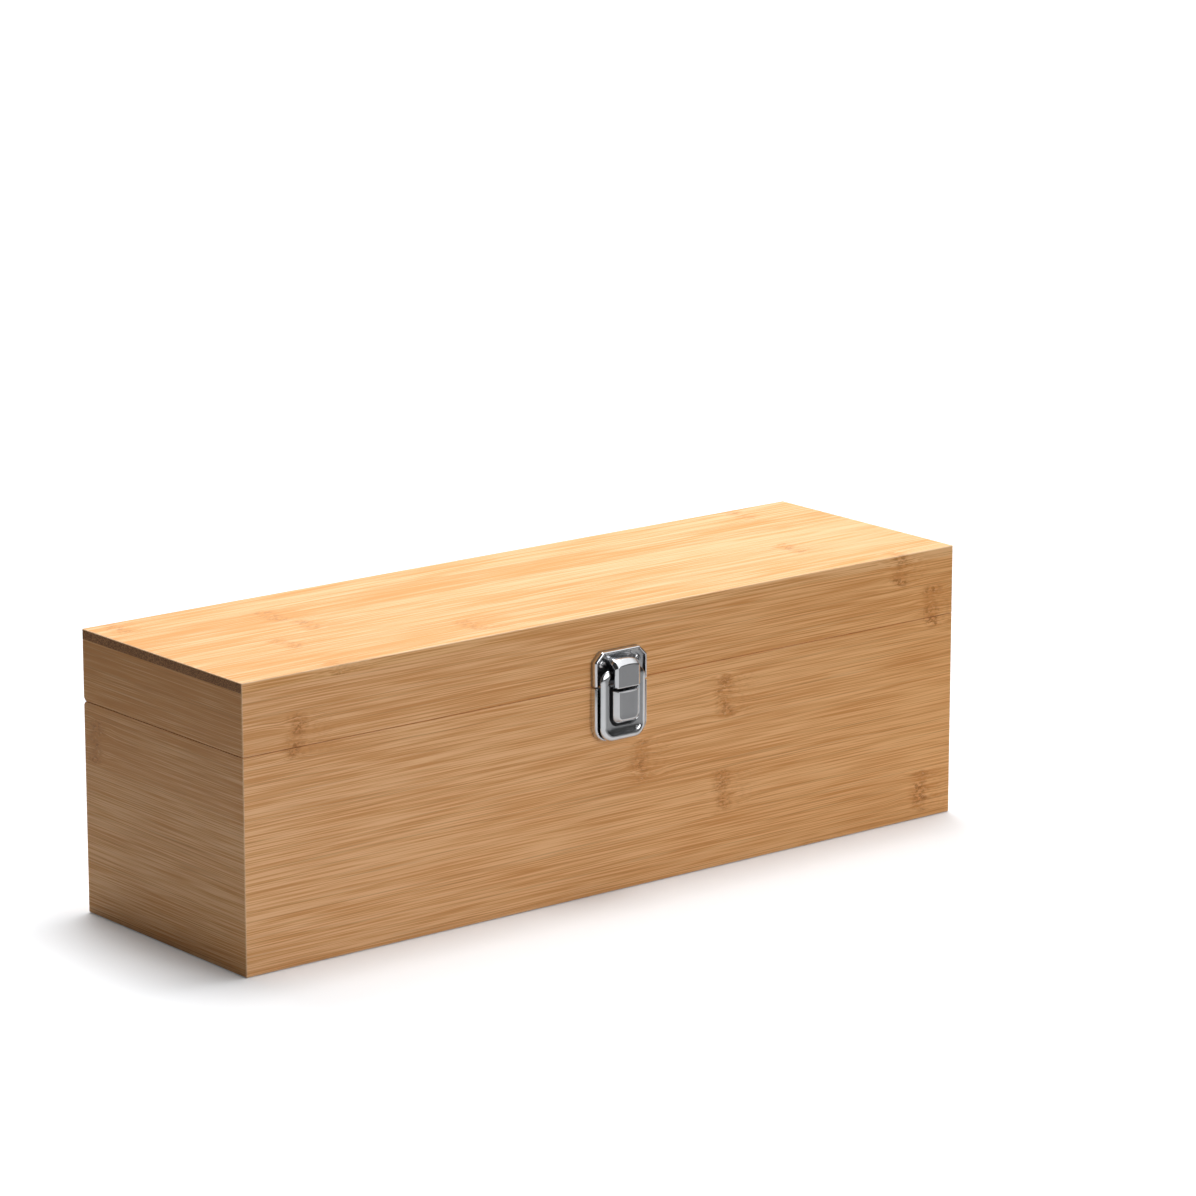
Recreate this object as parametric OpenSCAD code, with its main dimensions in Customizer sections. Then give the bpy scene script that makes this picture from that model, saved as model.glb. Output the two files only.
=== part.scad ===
// Hinged bamboo presentation box with a rocker latch, foam cradles and a foam tray in the lid.
// Origin: centre of the bottom face. +X runs along the length, +Y to the hinges, +Z up. Millimetres.

/* [Box] */
// Outside length, along the front
box_length = 360; // [350:5:420]
// Outside depth, front to back
box_depth = 108; // [106:1:130]
// Height of the base, from the table to the split
base_height = 86; // [80:1:110]
// Height of the lid, from the split to the top
lid_height = 29; // [26:1:45]
// Thickness of the boards and rails
wall = 8; // [7:0.5:12]
// Thickness of the panel laid over the lid
top_panel = 4; // [3:0.5:6]
// Thickness of the bottom panel
bottom_panel = 4; // [3:0.5:6]
// How far the bottom panel is let into the boards
rebate = 4; // [2:0.5:5]
// Radius that eases the outside edges
edge_radius = 0.6; // [0.3:0.1:2.5]
// Saw gap between base and lid
split_gap = 0.3; // [0.2:0.1:0.8]

/* [Cradles] */
// Thickness of the felt on the floor
liner = 1; // [0.5:0.1:2]
// Clearance round the foam blocks
foam_gap = 0.3; // [0.2:0.1:1]
// Radius of the body scoop
body_scoop_radius = 42; // [38:0.5:44]
// Height of the scoops' common axis above the table
scoop_axis = 49; // [48:0.5:56]
// Length of the body scoop
body_scoop_length = 177; // [150:1:185]
// Wall between the body scoop and the left end of its block
body_end_wall = 14.7; // [8:0.1:20]
// Height of the body block's top above the table
body_block_top = 44; // [30:1:48]
// Open space between the two blocks
shoulder_space = 65; // [40:1:70]
// Radius of the neck scoop
neck_scoop_radius = 16; // [14:0.5:20]
// Length of the neck scoop
neck_scoop_length = 64; // [40:1:66]

/* [Accessory tray] */
// Thickness of the foam tray in the lid
tray_thickness = 19; // [17:0.5:21]
// Depth of the pockets
pocket_depth = 15; // [8:0.5:16]
// Distance of the pocket rows from the middle
pocket_row = 22.5; // [21:0.5:23]
// Radius of the round pocket
round_pocket_radius = 20.5; // [16:0.5:21]
// Place of the round pocket along the box
round_pocket_x = -125; // [-135:1:-110]
// Radius of the tapered pocket's round end
taper_pocket_radius = 13.5; // [10:0.5:16]
// Half-width of the tapered pocket at its narrow end
taper_pocket_tip = 4; // [3:0.5:8]
// Length of the tapered pocket between the two ends' centres
taper_pocket_length = 92; // [70:1:100]
// Place of the tapered pocket's round end along the box
taper_pocket_x = -60; // [-75:1:-50]
// Half-width of the straight pocket
straight_pocket_radius = 13; // [10:0.5:16]
// Length of the straight pocket between its ends' centres
straight_pocket_length = 104; // [80:1:110]
// Place of the straight pocket's left end along the box
straight_pocket_x = 35; // [30:1:45]
// Half-width of the bent pocket
bent_pocket_radius = 12; // [9:0.5:14]
// Length of each leg of the bent pocket
bent_pocket_leg = 52; // [40:1:58]
// Slope of the bent pocket's legs
bent_pocket_angle = 6; // [2:1:8]
// Place of the bent pocket's elbow along the box
bent_pocket_x = -90; // [-100:1:-80]
// Radius of the finger notches
notch_radius = 9; // [6:0.5:10]

/* [Hinges] */
// Length of each hinge
hinge_length = 30; // [24:1:50]
// Distance of each hinge from the middle
hinge_place = 110; // [80:5:130]
// Knuckles on each hinge
knuckles = 5; // [3:2:7]
// Distance of the hinge axis inside the back face
hinge_inset = 1.5; // [1.3:0.1:2]
// Radius of the knuckles
knuckle_radius = 1.75; // [1.4:0.05:1.9]
// Radius of the hinge pin
hinge_pin_radius = 0.75; // [0.6:0.05:0.85]
// Thickness of the leaves
leaf_thickness = 1; // [0.7:0.1:1.2]
// Depth of each leaf, from its inner edge to its knuckles
leaf_depth = 4; // [3.6:0.1:4.4]
// Running clearance on the pin and beside the knuckles
hinge_clearance = 0.06; // [0.03:0.01:0.1]
// Room cut in the wood round the knuckles
knuckle_room = 0.3; // [0.2:0.05:0.6]
// Slope of the stop bevels behind the hinge axis
bevel_angle = 50; // [46:1:60]
// Distance of the hinge screws from the hinge's middle
hinge_screw_place = 9; // [6:0.5:11]
// Radius of the hinge screws' heads
hinge_head_radius = 1.5; // [1.2:0.1:1.7]
// Length of the hinge screws
hinge_screw_length = 8; // [6:0.5:12]

/* [Latch plates] */
// Width of the two latch plates
plate_width = 26.6; // [26.2:0.1:32]
// Thickness of the latch's steel sheet
sheet = 1.2; // [1:0.05:1.3]
// Height of the turned-up rims
rim_height = 3; // [2.4:0.1:3.3]
// Height of the keeper on the lid
keeper_height = 13; // [12:0.1:16]
// Chamfer of the keeper's top corners
keeper_chamfer = 3.5; // [2:0.1:4.5]
// Height of the base plate
plate_height = 22.3; // [21.5:0.1:26]
// Radius of the base plate's bottom corners
plate_corner = 6; // [4:0.5:8]
// Gap from each plate to the split
plate_gap = 0.3; // [0.1:0.1:0.6]
// Distance of the keeper screws from the middle
keeper_screw_x = 8.9; // [8.6:0.1:9.4]
// Height of the keeper screws above the split
keeper_screw_z = 8.8; // [8.4:0.1:9.2]
// Distance of the base plate screws from the middle
plate_screw_x = 7; // [4:0.5:8.5]
// Depth of the base plate screws below the split
plate_screw_z = 17.5; // [17:0.1:18.5]
// Radius of the latch screws' heads
latch_head_radius = 1.7; // [1.4:0.1:1.8]
// Height of the latch screws' heads
latch_head_height = 1; // [0.7:0.1:1.3]
// Radius of the latch screws' shanks
latch_shank_radius = 0.9; // [0.7:0.05:1.1]
// Length of the latch screws' shanks
latch_shank_length = 7; // [5:0.5:7.5]

/* [Latch hook] */
// Width of the hook
hook_width = 12.6; // [11:0.1:13]
// Distance of the hook's outer face from the wood
hook_reach = 7.4; // [7.2:0.1:9]
// Height of the hook's outer face above the split, at its top
hook_top = 8.4; // [8:0.1:8.6]
// Drop of the hook's tip below the split
hook_drop = 0.7; // [0.4:0.1:0.9]
// Thickness of the turned-in tip
hook_lip = 1; // [0.7:0.1:1.1]
// Free gap between the hook's tip and the crossbar's face
hook_clearance = 0.7; // [0.6:0.05:0.9]

/* [Latch lever] */
// Width of the lever
lever_width = 22.8; // [22:0.1:23.4]
// Height of the lever above the split
lever_top = 6.4; // [6:0.1:6.6]
// Depth of the lever below the split
lever_bottom = 22.5; // [21.5:0.1:24]
// Distance of the lever's back from the wood
lever_back = 3.4; // [3.35:0.05:3.8]
// Radius of the lever's top corners
lever_top_corner = 5; // [3:0.5:6]
// Radius of the lever's bottom corners
lever_bottom_corner = 6; // [4:0.5:8]
// Width of the window that the hook hangs in
window_width = 14; // [13.6:0.1:15]
// Height of the window's upper edge above the split
window_top = 1; // [0.8:0.1:1.4]
// Depth of the window's lower edge below the split
window_bottom = 1.9; // [1.4:0.1:2.4]
// Width of the raised bill
bill_width = 12.6; // [11:0.1:13]
// Height of the raised bill
bill_height = 13.3; // [11:0.1:14]
// Distance of the bill's face from the wood
bill_reach = 7.4; // [6.6:0.1:8.5]
// Radius of the bill's bottom corners
bill_corner = 3; // [1.5:0.5:4]
// Bevel that turns into the flat faces of the bill and the lever
bevel = 0.6; // [0.2:0.1:0.9]
// Depth of the pivot below the split
pivot_drop = 7; // [6:0.1:8]
// Distance of the pivot from the wood
pivot_reach = 2.5; // [2.45:0.05:2.6]
// Radius of the pivot pin
pivot_radius = 0.5; // [0.4:0.05:0.55]
// Running clearance of the lever on its pin
pivot_clearance = 0.05; // [0.03:0.01:0.1]
// Radius of the ears round the pin
ear_radius = 0.8; // [0.75:0.05:0.85]
// Distance of the plate's ears from the middle
ear_place = 8.6; // [7.5:0.1:9]
// Radius of the spring's coil, to its outside
spring_radius = 1.25; // [1.1:0.05:1.3]
// Diameter of the spring's wire
spring_wire = 0.4; // [0.3:0.05:0.5]
// Length of the spring's coil
spring_length = 6; // [4:0.5:8]

/* [Hidden] */
$fn = 48;

// A cut runs past the face that it leaves by this much.
over = 1;
box_height = base_height + lid_height;
half_length = box_length / 2;
half_depth = box_depth / 2;
inner_length = box_length - 2 * wall;
inner_depth = box_depth - 2 * wall;
rail_bottom = base_height + split_gap;
rail_top = box_height - top_panel;

foam_length = inner_length - 2 * foam_gap;
foam_depth = inner_depth - 2 * foam_gap;
foam_left = -foam_length / 2;
foam_bottom = bottom_panel + liner;
body_scoop_left = foam_left + body_end_wall;
body_block_length = body_end_wall + body_scoop_length;
neck_block_left = foam_left + body_block_length + shoulder_space;
neck_block_length = foam_length - body_block_length - shoulder_space;
tray_bottom = rail_top - tray_thickness;

hinge_y = half_depth - hinge_inset;
hinge_z = base_height + split_gap / 2;
leaf_back = hinge_y - knuckle_radius - knuckle_room;
knuckle_pitch = hinge_length / knuckles;
hinge_shank_radius = hinge_head_radius * 0.6;
screw_y = leaf_back - leaf_depth / 2;
bevel_rise = (hinge_inset + over) * tan(bevel_angle);

ear_width = 1;
flange_depth = 0.5;
hook_bend = 2;
hook_root = hook_top + 2.2;
bill_wall = sheet;

wood_light = [0.80, 0.62, 0.42];
wood_dark = [0.72, 0.53, 0.34];
steel = [0.72, 0.73, 0.75];
foam = [0.10, 0.10, 0.11];

// Points of an arc in the plane, from angle a0 to a1.
function arc(x, y, r, a0, a1, steps = 8) =
    [for (i = [0:steps]) [x + r * cos(a0 + (a1 - a0) * i / steps), y + r * sin(a0 + (a1 - a0) * i / steps)]];

// A rectangle centred on both axes, with round corners of radius r.
module round_rect(w, h, r) {
    square([w - 2 * r, h], center = true);
    square([w, h - 2 * r], center = true);
    for (sx = [-1, 1], sy = [-1, 1])
        translate([sx * (w / 2 - r), sy * (h / 2 - r)])
            circle(r);
}

// The closed box's outside, with all its edges eased.
module outer_form() {
    intersection() {
        linear_extrude(box_height)
            round_rect(box_length, box_depth, edge_radius);
        translate([-half_length, 0, box_height / 2])
            rotate([90, 0, 90])
                linear_extrude(box_length)
                    round_rect(box_depth, box_height, edge_radius);
        translate([0, half_depth, box_height / 2])
            rotate([90, 0, 0])
                linear_extrude(box_depth)
                    round_rect(box_length, box_height, edge_radius);
    }
}

// One side of a mitred frame, along X at the front.
module mitred_long(z0, z1) {
    translate([0, 0, z0])
        linear_extrude(z1 - z0)
            polygon([
                [-half_length, -half_depth],
                [half_length, -half_depth],
                [half_length - wall, -half_depth + wall],
                [-half_length + wall, -half_depth + wall]
            ]);
}

// One side of a mitred frame, along Y at the left end.
module mitred_short(z0, z1) {
    translate([0, 0, z0])
        linear_extrude(z1 - z0)
            polygon([
                [-half_length, -half_depth],
                [-half_length + wall, -half_depth + wall],
                [-half_length + wall, half_depth - wall],
                [-half_length, half_depth]
            ]);
}

// The space of the bottom panel.
module bottom_space(height) {
    translate([-inner_length / 2 - rebate, -inner_depth / 2 - rebate, bottom_panel - height])
        cube([inner_length + 2 * rebate, inner_depth + 2 * rebate, height]);
}

module base_side() {
    difference() {
        intersection() {
            outer_form();
            children();
        }
        bottom_space(bottom_panel + over);
    }
}

module lid_side() {
    intersection() {
        outer_form();
        children();
    }
}

// Wood taken off both back edges behind the hinge axis, so that they stop the lid when it is open.
module stop_bevel() {
    translate([-half_length - over, hinge_y, 0])
        rotate([90, 0, 90])
            linear_extrude(box_length + 2 * over)
                polygon([
                    [0, base_height],
                    [hinge_inset + over, base_height - bevel_rise],
                    [hinge_inset + over, rail_bottom + bevel_rise],
                    [0, rail_bottom]
                ]);
}

// Room for both hinges in the wood: knuckles, leaves and screws.
module hinge_room() {
    room_length = hinge_length + 2 * knuckle_room;
    for (side = [-1, 1])
        translate([side * hinge_place, 0, 0]) {
            translate([-room_length / 2, hinge_y, hinge_z])
                rotate([0, 90, 0])
                    cylinder(h = room_length, r = knuckle_radius + knuckle_room);
            translate([-hinge_length / 2, leaf_back - leaf_depth, base_height - leaf_thickness])
                cube([hinge_length, leaf_depth + knuckle_room, 2 * leaf_thickness + split_gap]);
            for (place = [-1, 1])
                translate([place * hinge_screw_place, screw_y, hinge_z - hinge_screw_length - split_gap / 2])
                    cylinder(h = 2 * hinge_screw_length + split_gap, r = hinge_shank_radius);
        }
}

// Pilot holes in the front board or rail, one each side of the middle.
module latch_pilots(x, z) {
    for (side = [-1, 1])
        on_front()
            translate([side * x, z, sheet - latch_shank_length])
                cylinder(h = latch_shank_length, r = latch_shank_radius);
}

// Puts children on the front at the split: their X stays, Y is height and Z comes out of the wood.
module on_front() {
    translate([0, -half_depth, base_height])
        rotate([90, 0, 0])
            children();
}

module base_front_board() {
    color(wood_light)
        difference() {
            base_side() mitred_long(0, base_height);
            latch_pilots(plate_screw_x, -plate_screw_z);
        }
}

module base_back_board() {
    color(wood_light)
        difference() {
            base_side() rotate([0, 0, 180]) mitred_long(0, base_height);
            stop_bevel();
            hinge_room();
        }
}

module base_left_end() {
    color(wood_dark)
        difference() {
            base_side() mitred_short(0, base_height);
            stop_bevel();
        }
}

module base_right_end() {
    color(wood_dark)
        difference() {
            base_side() rotate([0, 0, 180]) mitred_short(0, base_height);
            stop_bevel();
        }
}

module base_bottom_panel() {
    color(wood_light)
        bottom_space(bottom_panel);
}

module floor_liner() {
    color(foam)
        translate([-foam_length / 2, -foam_depth / 2, bottom_panel])
            cube([foam_length, foam_depth, liner]);
}

module body_cradle() {
    color(foam)
        difference() {
            translate([foam_left, -foam_depth / 2, foam_bottom])
                cube([body_block_length, foam_depth, body_block_top - foam_bottom]);
            translate([body_scoop_left, 0, scoop_axis])
                rotate([0, 90, 0])
                    cylinder(h = body_scoop_length + over, r = body_scoop_radius, $fn = 96);
        }
}

module neck_cradle() {
    color(foam)
        difference() {
            translate([neck_block_left, -foam_depth / 2, foam_bottom])
                cube([neck_block_length, foam_depth, scoop_axis - foam_bottom]);
            translate([neck_block_left - over, 0, scoop_axis])
                rotate([0, 90, 0])
                    cylinder(h = neck_scoop_length + over, r = neck_scoop_radius, $fn = 96);
        }
}

module lid_top_panel() {
    color(wood_light)
        lid_side()
            translate([-half_length, -half_depth, rail_top])
                cube([box_length, box_depth, top_panel]);
}

module lid_front_rail() {
    color(wood_light)
        difference() {
            lid_side() mitred_long(rail_bottom, rail_top);
            latch_pilots(keeper_screw_x, keeper_screw_z);
        }
}

module lid_back_rail() {
    color(wood_light)
        difference() {
            lid_side() rotate([0, 0, 180]) mitred_long(rail_bottom, rail_top);
            stop_bevel();
            hinge_room();
        }
}

module lid_left_rail() {
    color(wood_dark)
        difference() {
            lid_side() mitred_short(rail_bottom, rail_top);
            stop_bevel();
        }
}

module lid_right_rail() {
    color(wood_dark)
        difference() {
            lid_side() rotate([0, 0, 180]) mitred_short(rail_bottom, rail_top);
            stop_bevel();
        }
}

// Outline of a pocket with round ends, from the origin along X.
module slot(length, r0, r1) {
    circle(r0);
    translate([length, 0])
        circle(r1);
    polygon([[0, -r0], [length, -r1], [length, r1], [0, r0]]);
}

// All pocket outlines, seen from above.
module pockets() {
    translate([round_pocket_x, pocket_row])
        circle(round_pocket_radius);
    translate([taper_pocket_x, pocket_row])
        slot(taper_pocket_length, taper_pocket_radius, taper_pocket_tip);
    translate([straight_pocket_x, -pocket_row])
        slot(straight_pocket_length, straight_pocket_radius, straight_pocket_radius);
    translate([bent_pocket_x, -pocket_row + bent_pocket_leg * sin(bent_pocket_angle) / 2])
        for (side = [0, 1])
            mirror([side, 0])
                rotate(-bent_pocket_angle)
                    slot(bent_pocket_leg, bent_pocket_radius, bent_pocket_radius);
}

// Finger notches beside the long pockets.
module notches() {
    translate([taper_pocket_x + taper_pocket_length / 2, pocket_row])
        square([2 * notch_radius, 2 * taper_pocket_radius + notch_radius], center = true);
    translate([straight_pocket_x + straight_pocket_length / 2, -pocket_row])
        square([2 * notch_radius, 2 * straight_pocket_radius + notch_radius], center = true);
}

module accessory_tray() {
    color(foam)
        difference() {
            translate([-foam_length / 2, -foam_depth / 2, tray_bottom])
                cube([foam_length, foam_depth, tray_thickness]);
            translate([0, 0, tray_bottom - over])
                linear_extrude(pocket_depth + over) {
                    pockets();
                    notches();
                }
        }
}

// One leaf: up = 0 for the base's leaf, which has the odd knuckles, and 1 for the lid's.
module hinge_leaf(side, up) {
    leaf_z = up == 0 ? base_height - leaf_thickness : rail_bottom;
    color(steel)
        translate([side * hinge_place, 0, 0])
            difference() {
                union() {
                    translate([-hinge_length / 2, leaf_back - leaf_depth, leaf_z])
                        cube([hinge_length, leaf_depth, leaf_thickness]);
                    for (i = [up:2:knuckles - 1])
                        translate([-hinge_length / 2 + i * knuckle_pitch + hinge_clearance, 0, 0])
                            knuckle(knuckle_pitch - 2 * hinge_clearance, leaf_z);
                }
                translate([-hinge_length / 2 - over, hinge_y, hinge_z])
                    rotate([0, 90, 0])
                        cylinder(h = hinge_length + 2 * over, r = hinge_pin_radius + up * hinge_clearance);
                for (place = [-1, 1])
                    translate([place * hinge_screw_place, screw_y, 0])
                        hinge_screw(up);
            }
}

// A knuckle with the strap that joins it to its leaf.
module knuckle(length, leaf_z) {
    translate([0, hinge_y, hinge_z])
        rotate([0, 90, 0])
            cylinder(h = length, r = knuckle_radius);
    translate([0, leaf_back - over / 2, leaf_z])
        cube([length, hinge_y - leaf_back + over / 2, leaf_thickness]);
}

// A countersunk screw driven into an edge: down into the base or up into the lid.
module hinge_screw(up) {
    head_face = up == 0 ? base_height : rail_bottom;
    translate([0, 0, head_face])
        mirror([0, 0, 1 - up])
            rotate_extrude()
                polygon([
                    [0, 0],
                    [hinge_head_radius, 0],
                    [hinge_shank_radius, leaf_thickness],
                    [hinge_shank_radius, hinge_screw_length - hinge_shank_radius],
                    [0, hinge_screw_length]
                ]);
}

module hinge_screws(up) {
    color(steel)
        for (side = [-1, 1], place = [-1, 1])
            translate([side * hinge_place + place * hinge_screw_place, screw_y, 0])
                hinge_screw(up);
}

module hinge_pin(side) {
    color(steel)
        translate([side * hinge_place - hinge_length / 2, hinge_y, hinge_z])
            rotate([0, 90, 0])
                cylinder(h = hinge_length, r = hinge_pin_radius);
}

// A round-headed screw with a cross slot, its head's underside at height zero.
module latch_screw() {
    slot_width = latch_head_radius * 0.3;
    difference() {
        rotate_extrude()
            polygon(concat(
                [[0, latch_head_height]],
                arc(latch_head_radius - latch_head_height * 0.6, latch_head_height * 0.4,
                    latch_head_height * 0.6, 90, 0, 4),
                [
                    [latch_head_radius, 0],
                    [latch_shank_radius, 0],
                    [latch_shank_radius, 2 * latch_shank_radius - latch_shank_length],
                    [0, -latch_shank_length]
                ]
            ));
        for (turn = [0, 90])
            rotate(turn)
                translate([0, 0, latch_head_height])
                    cube([1.3 * latch_head_radius, slot_width, latch_head_height], center = true);
    }
}

module latch_screws(x, z) {
    color(steel)
        for (side = [-1, 1])
            on_front()
                translate([side * x, z, sheet])
                    latch_screw();
}

// Screw holes in a latch plate's floor.
module floor_holes(x, z) {
    for (side = [-1, 1])
        translate([side * x, z, -over])
            cylinder(h = sheet + 2 * over, r = latch_shank_radius);
}

// Outline of the keeper, shrunk all round by inset but for its open lower edge.
module keeper_outline(inset) {
    w = plate_width / 2 - inset;
    top = plate_gap + keeper_height - inset;
    cut = keeper_chamfer - inset * (2 - sqrt(2));
    polygon([
        [-w, plate_gap],
        [w, plate_gap],
        [w, top - cut],
        [w - cut, top],
        [-w + cut, top],
        [-w, top - cut]
    ]);
}

// Side view of the hook: X is the distance from the wood, Y the height above the split.
module hook_profile() {
    inner = hook_reach - sheet;
    tip = lever_back + sheet + hook_clearance;
    polygon(concat(
        [[sheet / 2, hook_root]],
        [[sheet, hook_root]],
        arc(sheet + hook_bend, hook_root, hook_bend, 180, 245, 4),
        arc(hook_reach - hook_bend, hook_top - hook_bend, hook_bend, 70, 0, 6),
        arc(hook_reach - hook_lip / 2, -hook_drop + hook_lip / 2, hook_lip / 2, 0, -90, 4),
        [[tip, -hook_drop]],
        [[tip, -hook_drop + hook_lip]],
        [[inner, -hook_drop + hook_lip]],
        arc(inner - hook_bend / 2, hook_top - sheet - hook_bend / 2, hook_bend / 2, 0, 70, 4),
        [[sheet / 2, hook_root - 3.2]]
    ));
}

module latch_keeper() {
    color(steel)
        on_front()
            difference() {
                union() {
                    difference() {
                        linear_extrude(rim_height)
                            keeper_outline(0);
                        translate([0, -over, sheet])
                            linear_extrude(rim_height)
                                union() {
                                    keeper_outline(sheet);
                                    translate([0, over])
                                        keeper_outline(sheet);
                                }
                    }
                    translate([hook_width / 2, 0, 0])
                        rotate([0, -90, 0])
                            linear_extrude(hook_width)
                                hook_profile();
                }
                floor_holes(keeper_screw_x, keeper_screw_z);
            }
}

// Outline of the base plate, shrunk all round by inset but for its open upper edge.
module plate_outline(inset) {
    w = plate_width / 2 - inset;
    r = plate_corner - inset;
    low = -plate_gap - plate_height + inset;
    polygon(concat(
        [[w, -plate_gap], [-w, -plate_gap]],
        arc(-w + r, low + r, r, 180, 270),
        arc(w - r, low + r, r, 270, 360)
    ));
}

module latch_base_plate() {
    color(steel)
        on_front()
            difference() {
                union() {
                    difference() {
                        linear_extrude(rim_height)
                            plate_outline(0);
                        translate([0, 0, sheet])
                            linear_extrude(rim_height)
                                union() {
                                    plate_outline(sheet);
                                    translate([0, over])
                                        plate_outline(sheet);
                                }
                    }
                    for (side = [-1, 1])
                        translate([side * ear_place - ear_width / 2, -pivot_drop, 0])
                            ear(ear_width, ear_radius, sheet / 2);
                }
                pivot_bar(pivot_radius, ear_place + ear_width);
                floor_holes(plate_screw_x, -plate_screw_z);
            }
}

// A lug round the pivot, from the height foot to the pivot and round it.
module ear(width, radius, foot) {
    translate([0, 0, pivot_reach])
        rotate([0, 90, 0])
            cylinder(h = width, r = radius);
    translate([0, -radius, min(foot, pivot_reach)])
        cube([width, 2 * radius, abs(pivot_reach - foot)]);
}

// A round bar along the pivot, as long each way as half says.
module pivot_bar(radius, half) {
    translate([-half, -pivot_drop, pivot_reach])
        rotate([0, 90, 0])
            cylinder(h = 2 * half, r = radius);
}

module latch_pivot_pin() {
    color(steel)
        on_front()
            pivot_bar(pivot_radius, lever_width / 2);
}

// A coil round the pin: one leg lies on the plate's floor, the other pushes the crossbar out.
module latch_spring() {
    floor_leg = pivot_drop - 1;
    crossbar_leg = pivot_drop + (window_top + lever_top) / 2;
    wire_gap = 0.05;
    color(steel)
        on_front()
            difference() {
                union() {
                    pivot_bar(spring_radius, spring_length / 2);
                    translate([-spring_length / 2, -pivot_drop - floor_leg, sheet + wire_gap])
                        cube([spring_wire, floor_leg, spring_wire]);
                    translate([spring_length / 2 - spring_wire, -pivot_drop, lever_back - wire_gap - spring_wire])
                        cube([spring_wire, crossbar_leg, spring_wire]);
                }
                pivot_bar(spring_radius - spring_wire, spring_length / 2 + over);
            }
}

// Outline of the lever, shrunk all round by inset.
module lever_outline(inset) {
    w = lever_width / 2 - inset;
    rt = lever_top_corner - inset;
    rb = lever_bottom_corner - inset;
    top = lever_top - inset;
    low = -lever_bottom + inset;
    polygon(concat(
        arc(w - rt, top - rt, rt, 0, 90),
        arc(-w + rt, top - rt, rt, 90, 180),
        arc(-w + rb, low + rb, rb, 180, 270),
        arc(w - rb, low + rb, rb, 270, 360)
    ));
}

// The bill's outline, shrunk all round by inset.
module bill_outline(inset) {
    w = bill_width / 2 - inset;
    r = bill_corner - inset;
    top = -window_bottom - inset;
    low = -window_bottom - bill_height + inset;
    polygon(concat(
        [[w, top], [-w, top]],
        arc(-w + r, low + r, r, 180, 270),
        arc(w - r, low + r, r, 270, 360)
    ));
}

// A plate with a bevel round its outer face, between two distances from the wood.
module bevelled(from, to) {
    hull() {
        translate([0, 0, from])
            linear_extrude(to - from - bevel)
                children(0);
        translate([0, 0, from])
            linear_extrude(to - from)
                children(1);
    }
}

module latch_lever() {
    lever_face = lever_back + sheet;
    flange_low = lever_bottom_corner - lever_bottom;
    flange_high = lever_top - lever_top_corner;
    color(steel)
        on_front()
            difference() {
                union() {
                    bevelled(lever_back, lever_face) {
                        lever_outline(0);
                        lever_outline(bevel);
                    }
                    bevelled(lever_back, bill_reach) {
                        bill_outline(0);
                        bill_outline(bevel);
                    }
                    for (side = [-1, 1])
                        translate([side * (lever_width - sheet) / 2 - sheet / 2, 0, 0]) {
                            translate([0, flange_low, lever_back - flange_depth])
                                cube([sheet, flange_high - flange_low, flange_depth + sheet / 2]);
                            translate([0, -pivot_drop, 0])
                                ear(sheet, ear_radius, lever_back + sheet / 2);
                        }
                }
                translate([0, 0, -over])
                    linear_extrude(bill_reach - bill_wall + over)
                        bill_outline(bill_wall);
                translate([-window_width / 2, -window_bottom, 0])
                    cube([window_width, window_bottom + window_top, bill_reach + over]);
                pivot_bar(pivot_radius + pivot_clearance, lever_width / 2 + over);
            }
}

base_front_board();
base_back_board();
base_left_end();
base_right_end();
base_bottom_panel();
floor_liner();
body_cradle();
neck_cradle();
lid_top_panel();
lid_front_rail();
lid_back_rail();
lid_left_rail();
lid_right_rail();
accessory_tray();
hinge_leaf(-1, 0);  // hinge_leaf_base_left
hinge_leaf(1, 0);  // hinge_leaf_base_right
hinge_leaf(-1, 1);  // hinge_leaf_lid_left
hinge_leaf(1, 1);  // hinge_leaf_lid_right
hinge_pin(-1);  // hinge_pin_left
hinge_pin(1);  // hinge_pin_right
hinge_screws(0);  // hinge_screws_base
hinge_screws(1);  // hinge_screws_lid
latch_keeper();
latch_screws(keeper_screw_x, keeper_screw_z);  // latch_keeper_screws
latch_base_plate();
latch_screws(plate_screw_x, -plate_screw_z);  // latch_plate_screws
latch_pivot_pin();
latch_spring();
latch_lever();
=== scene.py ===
"""Dresses the hinged bamboo box: boards, hinges, rocker latch, foam cradles, felt floor and stage."""
import math

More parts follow.
